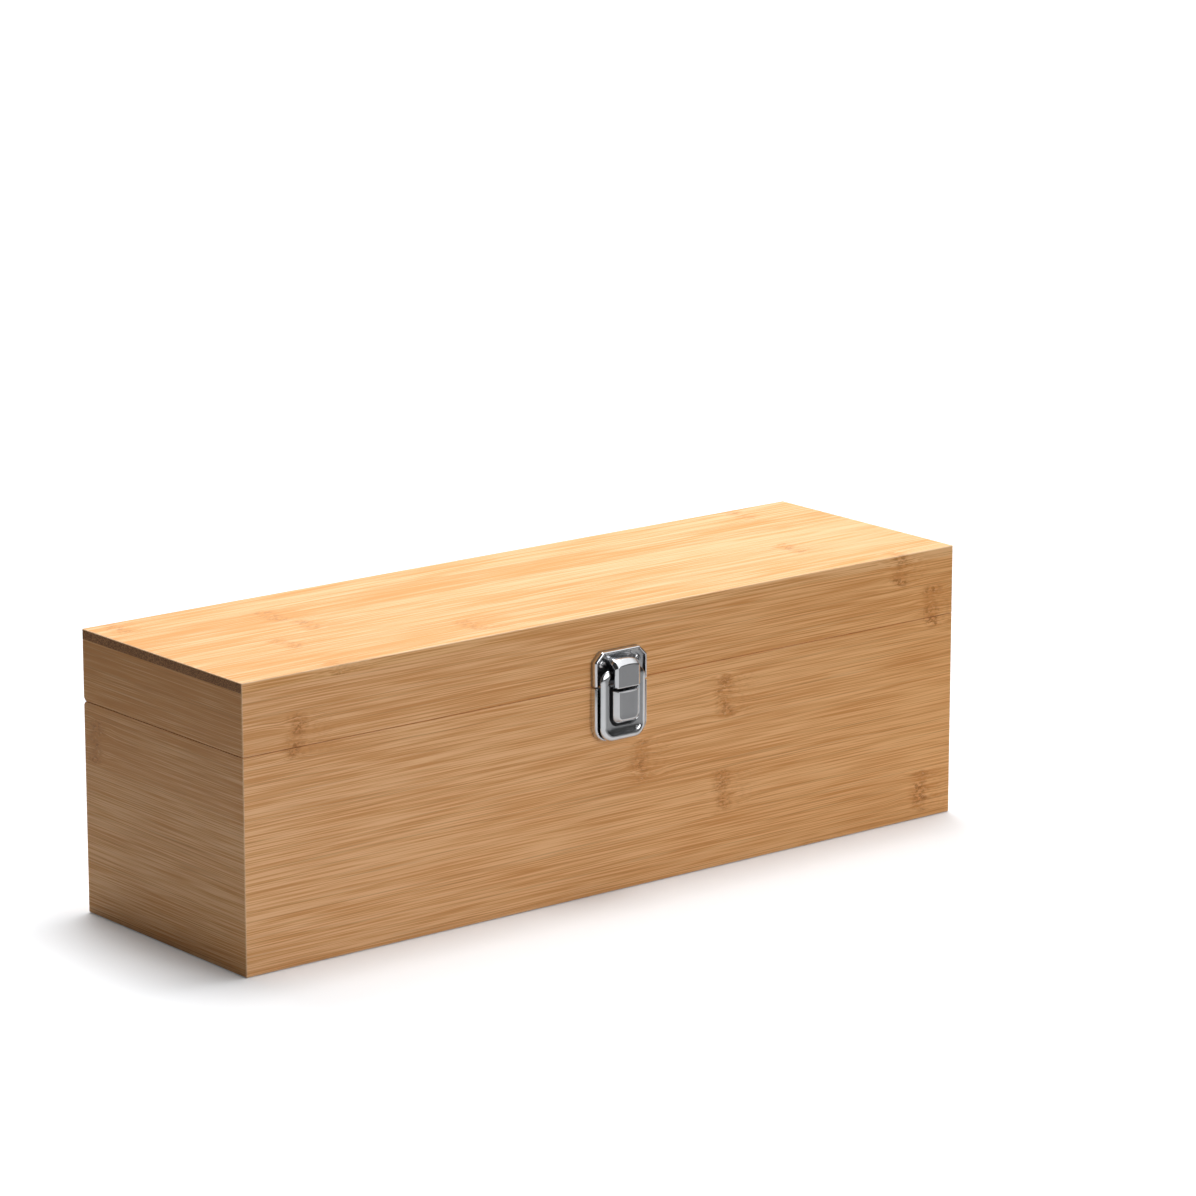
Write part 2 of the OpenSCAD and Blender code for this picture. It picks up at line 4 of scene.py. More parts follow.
import bmesh
import bpy
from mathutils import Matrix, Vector


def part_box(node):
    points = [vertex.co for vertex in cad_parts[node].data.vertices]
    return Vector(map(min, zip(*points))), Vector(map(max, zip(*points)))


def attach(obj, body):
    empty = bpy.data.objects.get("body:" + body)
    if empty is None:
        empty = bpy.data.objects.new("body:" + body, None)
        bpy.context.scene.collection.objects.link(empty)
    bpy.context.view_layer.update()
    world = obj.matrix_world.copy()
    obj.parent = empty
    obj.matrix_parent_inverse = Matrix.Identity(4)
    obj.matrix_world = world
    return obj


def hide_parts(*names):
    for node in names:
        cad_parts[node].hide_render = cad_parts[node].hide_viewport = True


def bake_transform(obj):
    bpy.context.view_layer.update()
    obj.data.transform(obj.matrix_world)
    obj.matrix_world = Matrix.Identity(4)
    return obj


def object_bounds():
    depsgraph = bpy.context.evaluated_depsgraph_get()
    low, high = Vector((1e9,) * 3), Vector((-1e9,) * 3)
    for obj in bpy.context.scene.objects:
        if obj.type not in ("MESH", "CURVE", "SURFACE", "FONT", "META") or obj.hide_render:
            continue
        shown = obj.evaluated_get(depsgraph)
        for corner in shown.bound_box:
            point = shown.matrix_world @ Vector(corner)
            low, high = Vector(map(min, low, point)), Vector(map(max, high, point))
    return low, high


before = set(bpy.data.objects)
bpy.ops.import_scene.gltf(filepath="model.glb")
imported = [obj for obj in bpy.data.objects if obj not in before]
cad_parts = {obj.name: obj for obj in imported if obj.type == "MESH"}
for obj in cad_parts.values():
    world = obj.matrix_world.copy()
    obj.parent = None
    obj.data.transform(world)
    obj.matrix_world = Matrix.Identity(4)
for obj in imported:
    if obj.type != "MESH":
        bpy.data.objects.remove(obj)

bl_info = {
    "name": "Hinged Bamboo Box",
    "version": (1, 0, 0),
    "blender": (4, 5, 0),
    "location": "3D View > Sidebar > Bamboo Box",
    "description": "Builds a hinged bamboo box with a rocker latch, foam cradles and a felt floor",
    "category": "Object",
}

CAD_BOX = [list(corner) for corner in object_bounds()]
MM = 0.001
X, Y, Z = 0, 1, 2

HALF_LENGTH, TOP = CAD_BOX[1][X], CAD_BOX[1][Z]
HALF_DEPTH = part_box("base_back_board")[1].y
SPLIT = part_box("base_front_board")[1].z


# ---------------------------------------------------------------- settings

def length(name, description, default, low, high):
    """A length that a user may change."""
    return bpy.props.FloatProperty(name=name, description=description, default=default, min=low, max=high,
                                   precision=5, unit="LENGTH")


def colour(name, description, default):
    """A colour that a user may change."""
    return bpy.props.FloatVectorProperty(name=name, description=description, default=default, min=0, max=1,
                                         subtype="COLOR")


class BoxSizes(bpy.types.PropertyGroup):
    """Sizes of the finish that a user may change."""

    edge_softening: length(
        "Edge softening", "Width of the sanded edge on each board", 0.00025, 0.00005, 0.0006)
    strip_width: length("Strip width", "Width of one bamboo strip in the side boards", 0.0197, 0.012, 0.03)
    top_strip_width: length(
        "Top strip width", "Width of one bamboo strip in the top panel", 0.02, 0.012, 0.03)
    knuckle_length: length("Knuckle length", "Length of a bamboo knuckle along the grain", 0.006, 0.003, 0.03)
    foam_voxel: length(
        "Foam fineness", "Size of the cells that the foam blocks are meshed with", 0.0016, 0.001, 0.004)
    coil_turns: bpy.props.FloatProperty(
        name="Coil turns", description="Turns of wire in the latch spring", default=13.0, min=4.0, max=15.0)


class BoxColours(bpy.types.PropertyGroup):
    """Colours of the finish that a user may change."""

    straw: colour("Straw", "Lightest bamboo of the sides", (0.92, 0.535, 0.245))
    honey: colour("Honey", "Darkest bamboo of the sides", (0.70, 0.318, 0.10))
    # The top colours are paler partly as painted light from above; they go on the top panel's upward faces.
    top_straw: colour("Top straw", "Lightest bamboo of the top panel", (0.87, 0.535, 0.262))
    top_honey: colour("Top honey", "Darkest bamboo of the top panel", (0.735, 0.328, 0.085))
    fibre: colour("Fibre", "Dark fibres in the bamboo", (0.37, 0.165, 0.045))
    knuckle: colour("Knuckle", "Brown curls of a bamboo knuckle", (0.43, 0.165, 0.042))
    speck: colour("Speck", "Light specks of a bamboo knuckle", (0.88, 0.56, 0.28))
    end_light: colour("End grain", "Ground colour of cut ends", (0.43, 0.205, 0.078))
    end_dark: colour("End grain dots", "Dark fibre ends in cut ends", (0.20, 0.085, 0.032))
    steel: colour("Steel", "Satin plated steel", (0.70, 0.71, 0.73))
    foam: colour("Foam", "Foam cradles and tray", (0.018, 0.018, 0.020))
    felt: colour("Felt", "Felt floor", (0.026, 0.026, 0.028))


def sizes():
    return bpy.context.scene.box_sizes


def colours():
    return bpy.context.scene.box_colours


# ---------------------------------------------------------------- node helpers

class Nodes:
    """Adds nodes to one tree and joins them."""

    def __init__(self, tree):
        self.tree = tree

    def add(self, kind, inputs=None, **settings):
        node = self.tree.nodes.new(kind)
        node.location = (200 * (len(self.tree.nodes) % 8), -220 * (len(self.tree.nodes) // 8))
        for name, value in settings.items():
            setattr(node, name, value)
        for key, value in (inputs or {}).items():
            self.feed(node.inputs[key], value)
        return node

    def feed(self, socket, value):
        if isinstance(value, bpy.types.NodeSocket):
            self.tree.links.new(value, socket)
        elif hasattr(value, "__len__") and socket.type == "RGBA":
            socket.default_value = (*value[:3], 1)
        else:
            socket.default_value = value

    def math(self, operation, *values):
        node = self.add("ShaderNodeMath", operation=operation)
        for socket, value in zip(node.inputs, values):
            self.feed(socket, value)
        return node.outputs[0]

    def plus(self, a, b):
        return self.math("ADD", a, b)

    def minus(self, a, b):
        return self.math("SUBTRACT", a, b)

    def times(self, a, b):
        return self.math("MULTIPLY", a, b)

    def times_plus(self, a, b, c):
        return self.math("MULTIPLY_ADD", a, b, c)

    def over(self, a, b):
        return self.math("DIVIDE", a, b)

    def larger(self, a, b):
        return self.math("MAXIMUM", a, b)

    def smaller(self, a, b):
        return self.math("MINIMUM", a, b)

    def scaled(self, vector, scale, shift=(0, 0, 0)):
        node = self.add("ShaderNodeVectorMath", operation="MULTIPLY_ADD")
        for socket, value in zip(node.inputs, (vector, scale, shift)):
            self.feed(socket, value)
        return node.outputs[0]

    def vector(self, x, y, z):
        return self.add("ShaderNodeCombineXYZ", {0: x, 1: y, 2: z}).outputs[0]

    def apart(self, vector):
        return self.add("ShaderNodeSeparateXYZ", {0: vector}).outputs

    def noise(self, vector, scale, detail=2.0, roughness=0.5):
        node = self.add("ShaderNodeTexNoise", {"Vector": vector, "Scale": scale, "Detail": detail,
                                               "Roughness": roughness})
        return node.outputs["Fac"]

    def stretched(self, place, along, across, detail, roughness=0.5, shift=(0, 0, 0), scale=1.0):
        """Noise whose cells are longer along X than across it."""
        return self.noise(self.scaled(place, (along, across, across), shift), scale, detail, roughness)

    def span(self, value, low, high, to_low=0.0, to_high=1.0, smooth=True):
        node = self.add("ShaderNodeMapRange",
                        {"Value": value, "From Min": low, "From Max": high,
                         "To Min": to_low, "To Max": to_high},
                        interpolation_type="SMOOTHSTEP" if smooth else "LINEAR")
        return node.outputs["Result"]

    def blend(self, factor, a, b, how="MIX"):
        node = self.add("ShaderNodeMix", data_type="RGBA", blend_type=how)
        self.feed(node.inputs["Factor"], factor)
        self.feed(node.inputs["A"], a)
        self.feed(node.inputs["B"], b)
        return node.outputs["Result"]

    def group(self, tree, inputs):
        node = self.add("ShaderNodeGroup", node_tree=tree)
        for key, value in inputs.items():
            self.feed(node.inputs[key], value)
        return node.outputs

    def attribute(self, name):
        return self.add("ShaderNodeAttribute", attribute_name=name).outputs["Fac"]

    def place(self):
        return self.add("ShaderNodeTexCoord").outputs["Object"]


def shader_group(name, inputs, outputs):
    """A new shader group with float or vector sockets; a default of three numbers makes a vector."""
    tree = bpy.data.node_groups.new(name, "ShaderNodeTree")
    for label, default in inputs.items():
        kind = "NodeSocketVector" if hasattr(default, "__len__") else "NodeSocketFloat"
        socket = tree.interface.new_socket(name=label, in_out="INPUT", socket_type=kind)
        socket.default_value = default
    for label in outputs:
        tree.interface.new_socket(name=label, in_out="OUTPUT", socket_type="NodeSocketFloat")
    nodes = Nodes(tree)
    return tree, nodes, nodes.add("NodeGroupInput").outputs, nodes.add("NodeGroupOutput").inputs


def new_material(name):
    """A material with its shader and nothing else: (material, nodes, shader)."""
    material = bpy.data.materials.new(name)
    material.use_nodes = True
    material.node_tree.nodes.clear()
    nodes = Nodes(material.node_tree)
    shader = nodes.add("ShaderNodeBsdfPrincipled")
    end = nodes.add("ShaderNodeOutputMaterial")
    nodes.feed(end.inputs["Surface"], shader.outputs["BSDF"])
    return material, nodes, shader


def relief(nodes, shader, height, distance, strength=1.0):
    """Feeds a height to the shader's normal."""
    bump = nodes.add("ShaderNodeBump", {"Height": height, "Distance": distance, "Strength": strength})
    nodes.feed(shader.inputs["Normal"], bump.outputs["Normal"])


# ---------------------------------------------------------------- shader groups

def strip_group():
    """Which laminated strip a point lies in, and how near it is to a glue joint."""
    tree, n, into, out = shader_group(
        "Laminated strips",
        {"Across": 0.0, "First joint": 0.0, "Strip width": 0.02, "Joint width": 0.00018},
        ("Number", "Joint", "Middle"))
    steps = n.over(n.minus(into["Across"], into["First joint"]), into["Strip width"])
    number = n.math("FLOOR", steps)
    inside = n.minus(steps, number)
    nearest = n.smaller(inside, n.minus(1.0, inside))
    far = n.times(nearest, into["Strip width"])
    n.feed(out["Number"], number)
    n.feed(out["Joint"], n.span(far, 0.0, into["Joint width"], 1.0, 0.0))
    n.feed(out["Middle"], n.span(nearest, -0.02, 0.14))
    return tree


def grain_group():
    """Bamboo fibres: fine streaks, broad tone bands and sparse dark fibres."""
    tree, n, into, out = shader_group(
        "Bamboo fibres",
        {"Along": 0.0, "Across": 0.0, "Depth": 0.0, "Seed": 0.0, "Fineness": 1.0},
        ("Streaks", "Bands", "Dark fibres", "Height"))
    shifted = n.times_plus(into["Seed"], 1.37, into["Along"])
    depth = n.times_plus(into["Seed"], 0.41, into["Depth"])
    place = n.vector(shifted, into["Across"], depth)
    streaks = n.stretched(place, 17.0, 1000.0, 3.0, 0.65, scale=into["Fineness"])
    hair = n.stretched(place, 24.0, 2300.0, 1.0)
    bands = n.stretched(place, 5.0, 240.0, 2.0)
    wide = n.stretched(place, 4.5, 75.0, 1.0)
    dark = n.stretched(place, 14.0, 1900.0, 2.0, shift=(3.1, 7.7, 1.9))
    n.feed(out["Streaks"], n.times_plus(hair, 0.95, n.times_plus(streaks, 0.34, -0.145)))
    n.feed(out["Bands"], n.times_plus(wide, 0.4, n.times(bands, 0.6)))
    n.feed(out["Dark fibres"], n.span(dark, 0.58, 0.70))
    n.feed(out["Height"], n.times_plus(hair, 0.4, n.times(streaks, 0.6)))
    return tree


def knuckle_group():
    """One bamboo knuckle across a strip: a lump of short curls with a speckled tail on one side."""
    tree, n, into, out = shader_group(
        "Bamboo knuckle",
        {"Along": 0.0, "Across": 0.0, "Depth": 0.0, "Centre": 0.0, "Length": 0.009, "Seed": 0.0},
        ("Lump", "Dark", "Light", "Shift"))
    depth = n.times_plus(into["Seed"], 0.31, into["Depth"])
    place = n.vector(into["Along"], into["Across"], depth)
    wobble = n.stretched(place, 30.0, 260.0, 2.0, 0.6)
    drift = n.times(n.minus(wobble, 0.5), 0.012)
    away = n.minus(n.plus(into["Along"], drift), into["Centre"])
    away = n.over(away, into["Length"])
    distance = n.math("ABSOLUTE", away)
    core = n.span(distance, 0.1, 1.0, 1.0, 0.0)
    halo = n.span(distance, 0.3, 3.2, 1.0, 0.0)
    tail = n.times(n.span(away, 0.2, 4.6, 1.0, 0.0), n.span(away, -1.4, 0.1))
    curls = n.stretched(place, 520.0, 900.0, 2.0, 0.6)
    dots = n.stretched(place, 420.0, 1000.0, 1.0, shift=(9.0, 2.0, 5.0))
    patches = n.stretched(place, 60.0, 210.0, 1.0, shift=(4.0, 1.0, 6.0))
    patchy = n.span(patches, 0.34, 0.60, 0.25, 1.0)
    n.feed(out["Lump"], n.times_plus(core, 0.8, n.times(tail, 0.4)))
    specks = n.times(n.times(tail, 0.22), n.span(dots, 0.48, 0.66))
    curled = n.times(n.times(core, patchy), n.span(curls, 0.42, 0.62))
    n.feed(out["Dark"], n.plus(curled, specks))
    lit = n.larger(core, n.times(tail, 0.4))
    n.feed(out["Light"], n.times(lit, n.span(dots, 0.40, 0.30)))
    bulge = n.times(n.minus(wobble, 0.5), halo)
    n.feed(out["Shift"], n.times(bulge, 0.005))
    return tree


def metal_group():
    """Faint rubbing and cloudiness of plated steel."""
    tree, n, into, out = shader_group(
        "Plated steel wear",
        {"Place": (0.0, 0.0, 0.0), "Fineness": 1.0},
        ("Clouds", "Rubbing", "Height"))
    clouds = n.stretched(into["Place"], 240.0, 240.0, 3.0, 0.6, scale=into["Fineness"])
    rubbing = n.stretched(into["Place"], 260.0, 5200.0, 2.0, 0.6, scale=into["Fineness"])
    grit = n.stretched(into["Place"], 6500.0, 6500.0, 1.0, scale=into["Fineness"])
    n.feed(out["Clouds"], clouds)
    n.feed(out["Rubbing"], rubbing)
    n.feed(out["Height"], n.plus(n.times(rubbing, 0.4), n.times(grit, 0.6)))
    return tree


def fuzz_group():
    """Open pores and short fibres, for foam and felt."""
    tree, n, into, out = shader_group(
        "Pores and fuzz",
        {"Place": (0.0, 0.0, 0.0), "Pore size": 0.0006, "Fibre size": 0.0003},
        ("Pores", "Fibres", "Patches", "Height"))

    def measured_in(size):
        node = n.add("ShaderNodeVectorMath", {0: into["Place"]}, operation="SCALE")
        n.feed(node.inputs["Scale"], n.over(1.0, into[size]))
        return node.outputs[0]

    cells = n.add("ShaderNodeTexVoronoi", {"Vector": measured_in("Pore size"), "Scale": 1.0})
    pores = n.span(cells.outputs["Distance"], 0.15, 0.6)
    fibres = n.noise(measured_in("Fibre size"), 1.0, 3.0, 0.7)
    patches = n.stretched(into["Place"], 45.0, 45.0, 3.0, 0.6)
    n.feed(out["Pores"], pores)
    n.feed(out["Fibres"], fibres)
    n.feed(out["Patches"], patches)
    n.feed(out["Height"], n.plus(n.times(pores, 0.5), n.times(fibres, 0.5)))
    return tree


GROUP_MAKERS = {"strips": strip_group, "grain": grain_group, "knuckle": knuckle_group,
                "metal": metal_group, "fuzz": fuzz_group}
GROUPS = {}


def group(name):
    """The named shader group, built the first time it is asked for."""
    if name not in GROUPS:
        GROUPS[name] = GROUP_MAKERS[name]()
    return GROUPS[name]


# ---------------------------------------------------------------- materials

# Each strip of a face: its tone from 0, straw, to 1, honey, and the places of two knuckles along it in mm.
TOP_STRIPS = ((0.12, -169.5, 147.5), (0.80, -111.0, 190.0), (0.10, -108.0, 196.0),
              (0.18, -131.0, 123.0), (0.42, -59.0, 195.0), (0.22, -135.0, 150.0))
FRONT_STRIPS = ((0.50, -240.0, 150.0), (0.58, -155.5, 168.0), (0.44, 56.0, -240.0),
                (0.48, 12.0, -240.0), (0.38, 54.5, -240.0), (0.42, 163.0, -240.0), (0.5, 100.0, -240.0))
# The left end's strips run darkest at the top and lightest below the middle: painted shade above and a
# painted sheen of the floor lower down, over the strips' own differing tones.
END_STRIPS_SHADE_AND_SHEEN = ((0.98, 90.0, -240.0), (0.92, -90.0, -240.0), (0.74, 45.5, -240.0),
              (0.50, -95.0, -240.0), (0.42, 96.5, -240.0), (0.58, 94.0, -240.0), (0.6, 90.0, -240.0))
BACK_STRIPS = ((0.46, 110.0, -240.0), (0.40, -40.0, -240.0), (0.52, 140.0, -150.0),
               (0.36, 20.0, -240.0), (0.50, -120.0, 170.0), (0.44, 85.0, -240.0), (0.5, 30.0, -240.0))
RIGHT_STRIPS = ((0.48, -38.0, -240.0), (0.42, 90.0, -240.0), (0.52, -5.0, -240.0),
                (0.40, -90.0, -240.0), (0.48, 30.0, -240.0), (0.44, -42.0, -240.0), (0.5, 90.0, -240.0))
FLOOR_STRIPS = ((0.45, -70.0, 190.0), (0.55, 60.0, -240.0), (0.35, -150.0, 130.0),
                (0.50, 20.0, -240.0), (0.40, -95.0, 185.0), (0.52, 110.0, -240.0))

# The tints at the front's left and right ends: greyer at the left, a painted sheen of the white floor, and
# warmer at the right.
FRONT_SHEEN_DRIFT = ((1.02, 1.04, 1.16), (1.0, 0.935, 0.83))

# Colours of the painted highlight on rounded edges, for wood and for steel.
EDGE_HIGHLIGHT_WOOD = (0.95, 0.80, 0.58)
EDGE_HIGHLIGHT_STEEL = (0.86, 0.86, 0.87)
SHADED_STEEL = (0.03, 0.03, 0.032)


def strip_layout(across):
    """Where a face's first strip joint lies, and how wide its strips are.

    The side boards' strips are counted down from the top, so that the lid and the base share one layout."""
    if across == Y:
        return -HALF_DEPTH, sizes().top_strip_width
    shown_of_uppermost = 14.5 * MM
    return -(TOP - shown_of_uppermost + sizes().strip_width), sizes().strip_width


def strip_table(nodes, number, strips):
    """Looks up a strip's tone and knuckle places by its number.

    The ramp's colours hold places from -250 to 250 mm as 0 to 1."""
    factor = nodes.over(nodes.plus(number, 0.5), float(len(strips)))
    ramp = nodes.add("ShaderNodeValToRGB", {"Fac": factor})
    ramp.color_ramp.interpolation = "CONSTANT"
    while len(ramp.color_ramp.elements) < len(strips):
        ramp.color_ramp.elements.new(1.0)
    for index, element in enumerate(ramp.color_ramp.elements):
        element.position = index / len(strips)
    for element, (tone, first, second) in zip(ramp.color_ramp.elements, strips):
        element.color = (tone, (first + 250) / 500, (second + 250) / 500, 1)
    parts = nodes.add("ShaderNodeSeparateColor", {"Color": ramp.outputs["Color"]}).outputs
    places = [nodes.times_plus(parts[i], 0.5, -0.25) for i in (1, 2)]
    return parts[0], places


def bamboo(name, along, across, direction, strips, pale=False, drift=None):
    """Laminated bamboo, with its grain along one axis and its strips counted across another.

    direction is the sign in which the strips are counted; the third axis is the depth. pale is for the top
    panel, whose upward faces take paler colours, partly its own wood and partly painted light from above, and
    whose tone darkens towards its left end as painted shade. drift holds the tints of a board's two ends,
    where its colour drifts along the grain; the front's greyer left end is a painted sheen."""
    material, n, shader = new_material(name)
    # On the top panel the upward faces take the top colours: partly the panel's own paler wood, partly
    # painted light, the paleness of strong light from above.
    flat = n.attribute("flat_face")
    straw = n.blend(flat, colours().straw, colours().top_straw) if pale else colours().straw
    honey = n.blend(flat, colours().honey, colours().top_honey) if pale else colours().honey
    axes = n.apart(n.place())
    run, depth = axes[along], axes[3 - along - across]
    side = n.times(axes[across], direction)
    first_joint, width = strip_layout(across)
    strip = n.group(group("strips"), {"Across": side, "First joint": first_joint, "Strip width": width})
    tone, knuckle_places = strip_table(n, strip["Number"], strips)

    shift, lump, dark, light = 0.0, 0.0, 0.0, 0.0
    for place in knuckle_places:
        made = n.group(group("knuckle"), {"Along": run, "Across": side, "Depth": depth, "Centre": place,
                                          "Length": sizes().knuckle_length, "Seed": strip["Number"]})
        shift = n.plus(shift, made["Shift"])
        lump = n.larger(lump, n.times(made["Lump"], strip["Middle"]))
        dark = n.larger(dark, n.times(made["Dark"], strip["Middle"]))
        light = n.larger(light, n.times(made["Light"], strip["Middle"]))

    fibres = n.group(group("grain"), {"Along": run, "Across": n.plus(side, shift), "Depth": depth,
                                      "Seed": strip["Number"], "Fineness": 1.0})
    end = n.attribute("end_grain")
    lit_edge = n.attribute("painted_edge_highlight")

    amount = n.times_plus(n.minus(fibres["Bands"], 0.5), 2.6 if pale else 1.2, tone)
    amount = n.times_plus(n.minus(fibres["Streaks"], 0.5), 6.5 if pale else 4.5, amount)
    amount = n.times_plus(lump, 0.4, amount)
    # Painted shade: the top panel darkens towards its left end, where less light falls, and pales towards its
    # right.
    if pale:
        amount = n.plus(amount, n.span(run, -HALF_LENGTH, HALF_LENGTH, 0.46, -0.06, smooth=False))
    hue = n.blend(amount, straw, honey)
    hue = n.blend(n.times(fibres["Dark fibres"], 0.14 if pale else 0.26), hue, colours().fibre)
    hue = n.blend(n.times(strip["Joint"], 0.35), hue, colours().fibre)
    hue = n.blend(n.times(dark, 0.55 if pale else 0.85), hue, colours().knuckle)
    hue = n.blend(n.times(light, 0.5), hue, colours().speck)
    # The front's tint runs from greyer at the left end, a painted sheen, to warmer at the right.
    if drift:
        tint = n.blend(n.span(run, -HALF_LENGTH, HALF_LENGTH, smooth=False), *drift)
        hue = n.blend(1.0, hue, tint, "MULTIPLY")
    dotted = n.blend(n.span(fibres["Streaks"], 0.38, 0.60), colours().end_light, colours().end_dark)
    hue = n.blend(n.times(end, 0.94), hue, dotted)
    # Painted highlight: the rounded edge faces are lightened as if catching the light.
    hue = n.blend(n.times(lit_edge, 0.25), hue, EDGE_HIGHLIGHT_WOOD)
    n.feed(shader.inputs["Base Color"], hue)
    rough = n.span(fibres["Streaks"], 0.3, 0.7, 0.40, 0.52)
    n.feed(shader.inputs["Roughness"], n.plus(rough, n.times(end, 0.2)))
    shader.inputs["Specular IOR Level"].default_value = 0.3
    height = n.minus(fibres["Height"], n.times(strip["Joint"], 0.8))
    relief(n, shader, n.minus(height, n.times(dark, 0.5)), 0.00006, 0.5)
    return material


def steel(name, base=None, roughness=(0.13, 0.20), bump=0.0000015):
    """Satin plated steel with faint rubbing."""
    material, n, shader = new_material(name)
    marks = n.group(group("metal"), {"Place": n.place(), "Fineness": 1.0})
    base = base or colours().steel
    tint = n.blend(n.span(marks["Clouds"], 0.3, 0.7), [0.95 * c for c in base], base)
    # Painted highlight on faces marked as rounded edges.
    tint = n.blend(n.times(n.attribute("painted_edge_highlight"), 0.6), tint, EDGE_HIGHLIGHT_STEEL)
    # Painted shade: faces marked as groove turn dark, standing in for the shade in recesses.
    groove = n.attribute("groove")
    n.feed(shader.inputs["Base Color"], n.blend(n.times(groove, 0.9), tint, SHADED_STEEL))
    rough = n.span(marks["Rubbing"], 0.3, 0.7, *roughness)
    n.feed(shader.inputs["Roughness"], n.times_plus(groove, 0.25, rough))
    shader.inputs["Metallic"].default_value = 1.0
    relief(n, shader, marks["Height"], bump, 0.6)
    return material


def soft(name, colour, pore, fibre, patch, distance, sheen):
    """Foam or felt: matt, with pores and fibres."""
    material, n, shader = new_material(name)
    fuzz = n.group(group("fuzz"), {"Place": n.place(), "Pore size": pore, "Fibre size": fibre})
    tint = n.blend(fuzz["Fibres"], [0.55 * c for c in colour], [1.6 * c for c in colour])
    tint = n.blend(n.times(fuzz["Patches"], patch), tint, [2.4 * c for c in colour])
    n.feed(shader.inputs["Base Color"], tint)
    n.feed(shader.inputs["Roughness"], n.span(fuzz["Pores"], 0.0, 1.0, 0.98, 0.86))
    shader.inputs["Specular IOR Level"].default_value = 0.25
    shader.inputs["Sheen Weight"].default_value = sheen
    shader.inputs["Sheen Roughness"].default_value = 0.6
    relief(n, shader, fuzz["Height"], distance)
    return material


# Each board's finish: the axis of its grain, the axis across its strips and the sign they are counted in, its
# strips, whether it is pale, with painted light on the top panel's upward faces, and its drift, whose greyer
# front left end is a painted sheen.
WOODS = {
    "bamboo_top": (X, Y, -1, TOP_STRIPS, True),
    "bamboo_front": (X, Z, -1, FRONT_STRIPS, False, FRONT_SHEEN_DRIFT),
    "bamboo_back": (X, Z, -1, BACK_STRIPS),
    "bamboo_left": (Y, Z, -1, END_STRIPS_SHADE_AND_SHEEN),
    "bamboo_right": (Y, Z, -1, RIGHT_STRIPS),
    "bamboo_bottom": (X, Y, 1, FLOOR_STRIPS),
}
MATERIALS = {}


def make_material(name):
    if name in WOODS:
        return bamboo(name, *WOODS[name])
    if name == "latch_steel":
        return steel(name)
    if name == "hinge_steel":
        return steel(name, (0.62, 0.61, 0.59), (0.20, 0.30), 0.000003)
    if name == "screw_steel":
        return steel(name, (0.52, 0.52, 0.53), (0.16, 0.26))
    if name == "foam":
        return soft(name, colours().foam, 0.0007, 0.0004, 0.35, 0.00012, 0.12)
    if name == "felt":
        return soft(name, colours().felt, 0.0011, 0.00022, 0.6, 0.0002, 0.3)
    raise ValueError(f"no material is called {name}")


def material(name):
    """The named material, built the first time it is asked for."""
    if name not in MATERIALS:
        MATERIALS[name] = make_material(name)
    return MATERIALS[name]


# ---------------------------------------------------------------- mesh helpers

def new_object(name, mesh, finish):
    """An object at the origin that holds the mesh and one material."""
    mesh.name = name
    made = bpy.data.objects.new(name, mesh)
    bpy.context.scene.collection.objects.link(made)
    mesh.materials.clear()
    mesh.materials.append(material(finish))
    return made


def from_bmesh(name, work, finish, smooth=None):
    """Turns a bmesh into an object, with outward faces.

    smooth is the angle up to which it is shaded smooth."""
    bmesh.ops.recalc_face_normals(work, faces=work.faces)
    mesh = bpy.data.meshes.new(name)
    work.to_mesh(mesh)
    work.free()
    if smooth is not None:
        mesh.shade_smooth()
        mesh.set_sharp_from_angle(angle=math.radians(smooth))
    return new_object(name, mesh, finish)


def merged_copy(node):
    """A bmesh of a CAD node with its loose triangles joined into whole faces."""
    work = bmesh.new()
    work.from_mesh(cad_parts[node].data)
    bmesh.ops.remove_doubles(work, verts=work.verts, dist=2e-6)
    bmesh.ops.dissolve_limit(work, angle_limit=math.radians(0.5), verts=work.verts, edges=work.edges)
    bmesh.ops.recalc_face_normals(work, faces=work.faces)
    return work


def settle(made, body, slot, *nodes):
    """Puts a finished piece on its body, in place of its CAD nodes. The slot is not used."""
    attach(made, body)
    if nodes:
        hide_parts(*nodes)


def freeze(made):
    """Applies every modifier by taking the evaluated mesh."""
    graph = bpy.context.evaluated_depsgraph_get()
    mesh = bpy.data.meshes.new_from_object(made.evaluated_get(graph), depsgraph=graph)
    old = made.data
    made.modifiers.clear()
    made.data = mesh
    bpy.data.meshes.remove(old)
    mesh.name = made.name
    return made


def mark_faces(mesh, name, test):
    """Stores the test's value, from 0 to 1, on each face."""
    values = mesh.attributes.new(name, "FLOAT", "FACE")
    for face in mesh.polygons:
        values.data[face.index].value = float(test(face))


# ---------------------------------------------------------------- boards

def on_mitre(edge):
    """True for an edge in the plane where two boards meet at a corner."""
    a, b = (v.co for v in edge.verts)
    if a.x * b.x < 0 or a.y * b.y < 0:
        return False
    return all(abs((HALF_LENGTH - abs(p.x)) - (HALF_DEPTH - abs(p.y))) < 0.00006 for p in (a, b))


def on_rim(edge):
    """True for an outer edge of the base's upper rim."""
    def outer(p):
        return abs(abs(p.x) - HALF_LENGTH) < 1e-6 or abs(abs(p.y) - HALF_DEPTH) < 1e-6

    return all(abs(v.co.z - SPLIT) < 1e-6 and outer(v.co) for v in edge.verts)


def bevel(work, chosen, width, segments):
    bmesh.ops.bevel(work, geom=chosen, offset=width, segments=segments, profile=0.5, affect="EDGES",
                    clamp_overlap=True)


def soften(work, width, skip=None):
    """Rounds the sharp outward edges of a bmesh."""
    chosen = [
        edge for edge in work.edges
        if len(edge.link_faces) == 2 and edge.is_convex and edge.calc_face_angle() > math.radians(35)
        and edge.calc_length() > 3 * width
        and not (skip and skip(edge))
    ]
    bevel(work, chosen, width, 2)


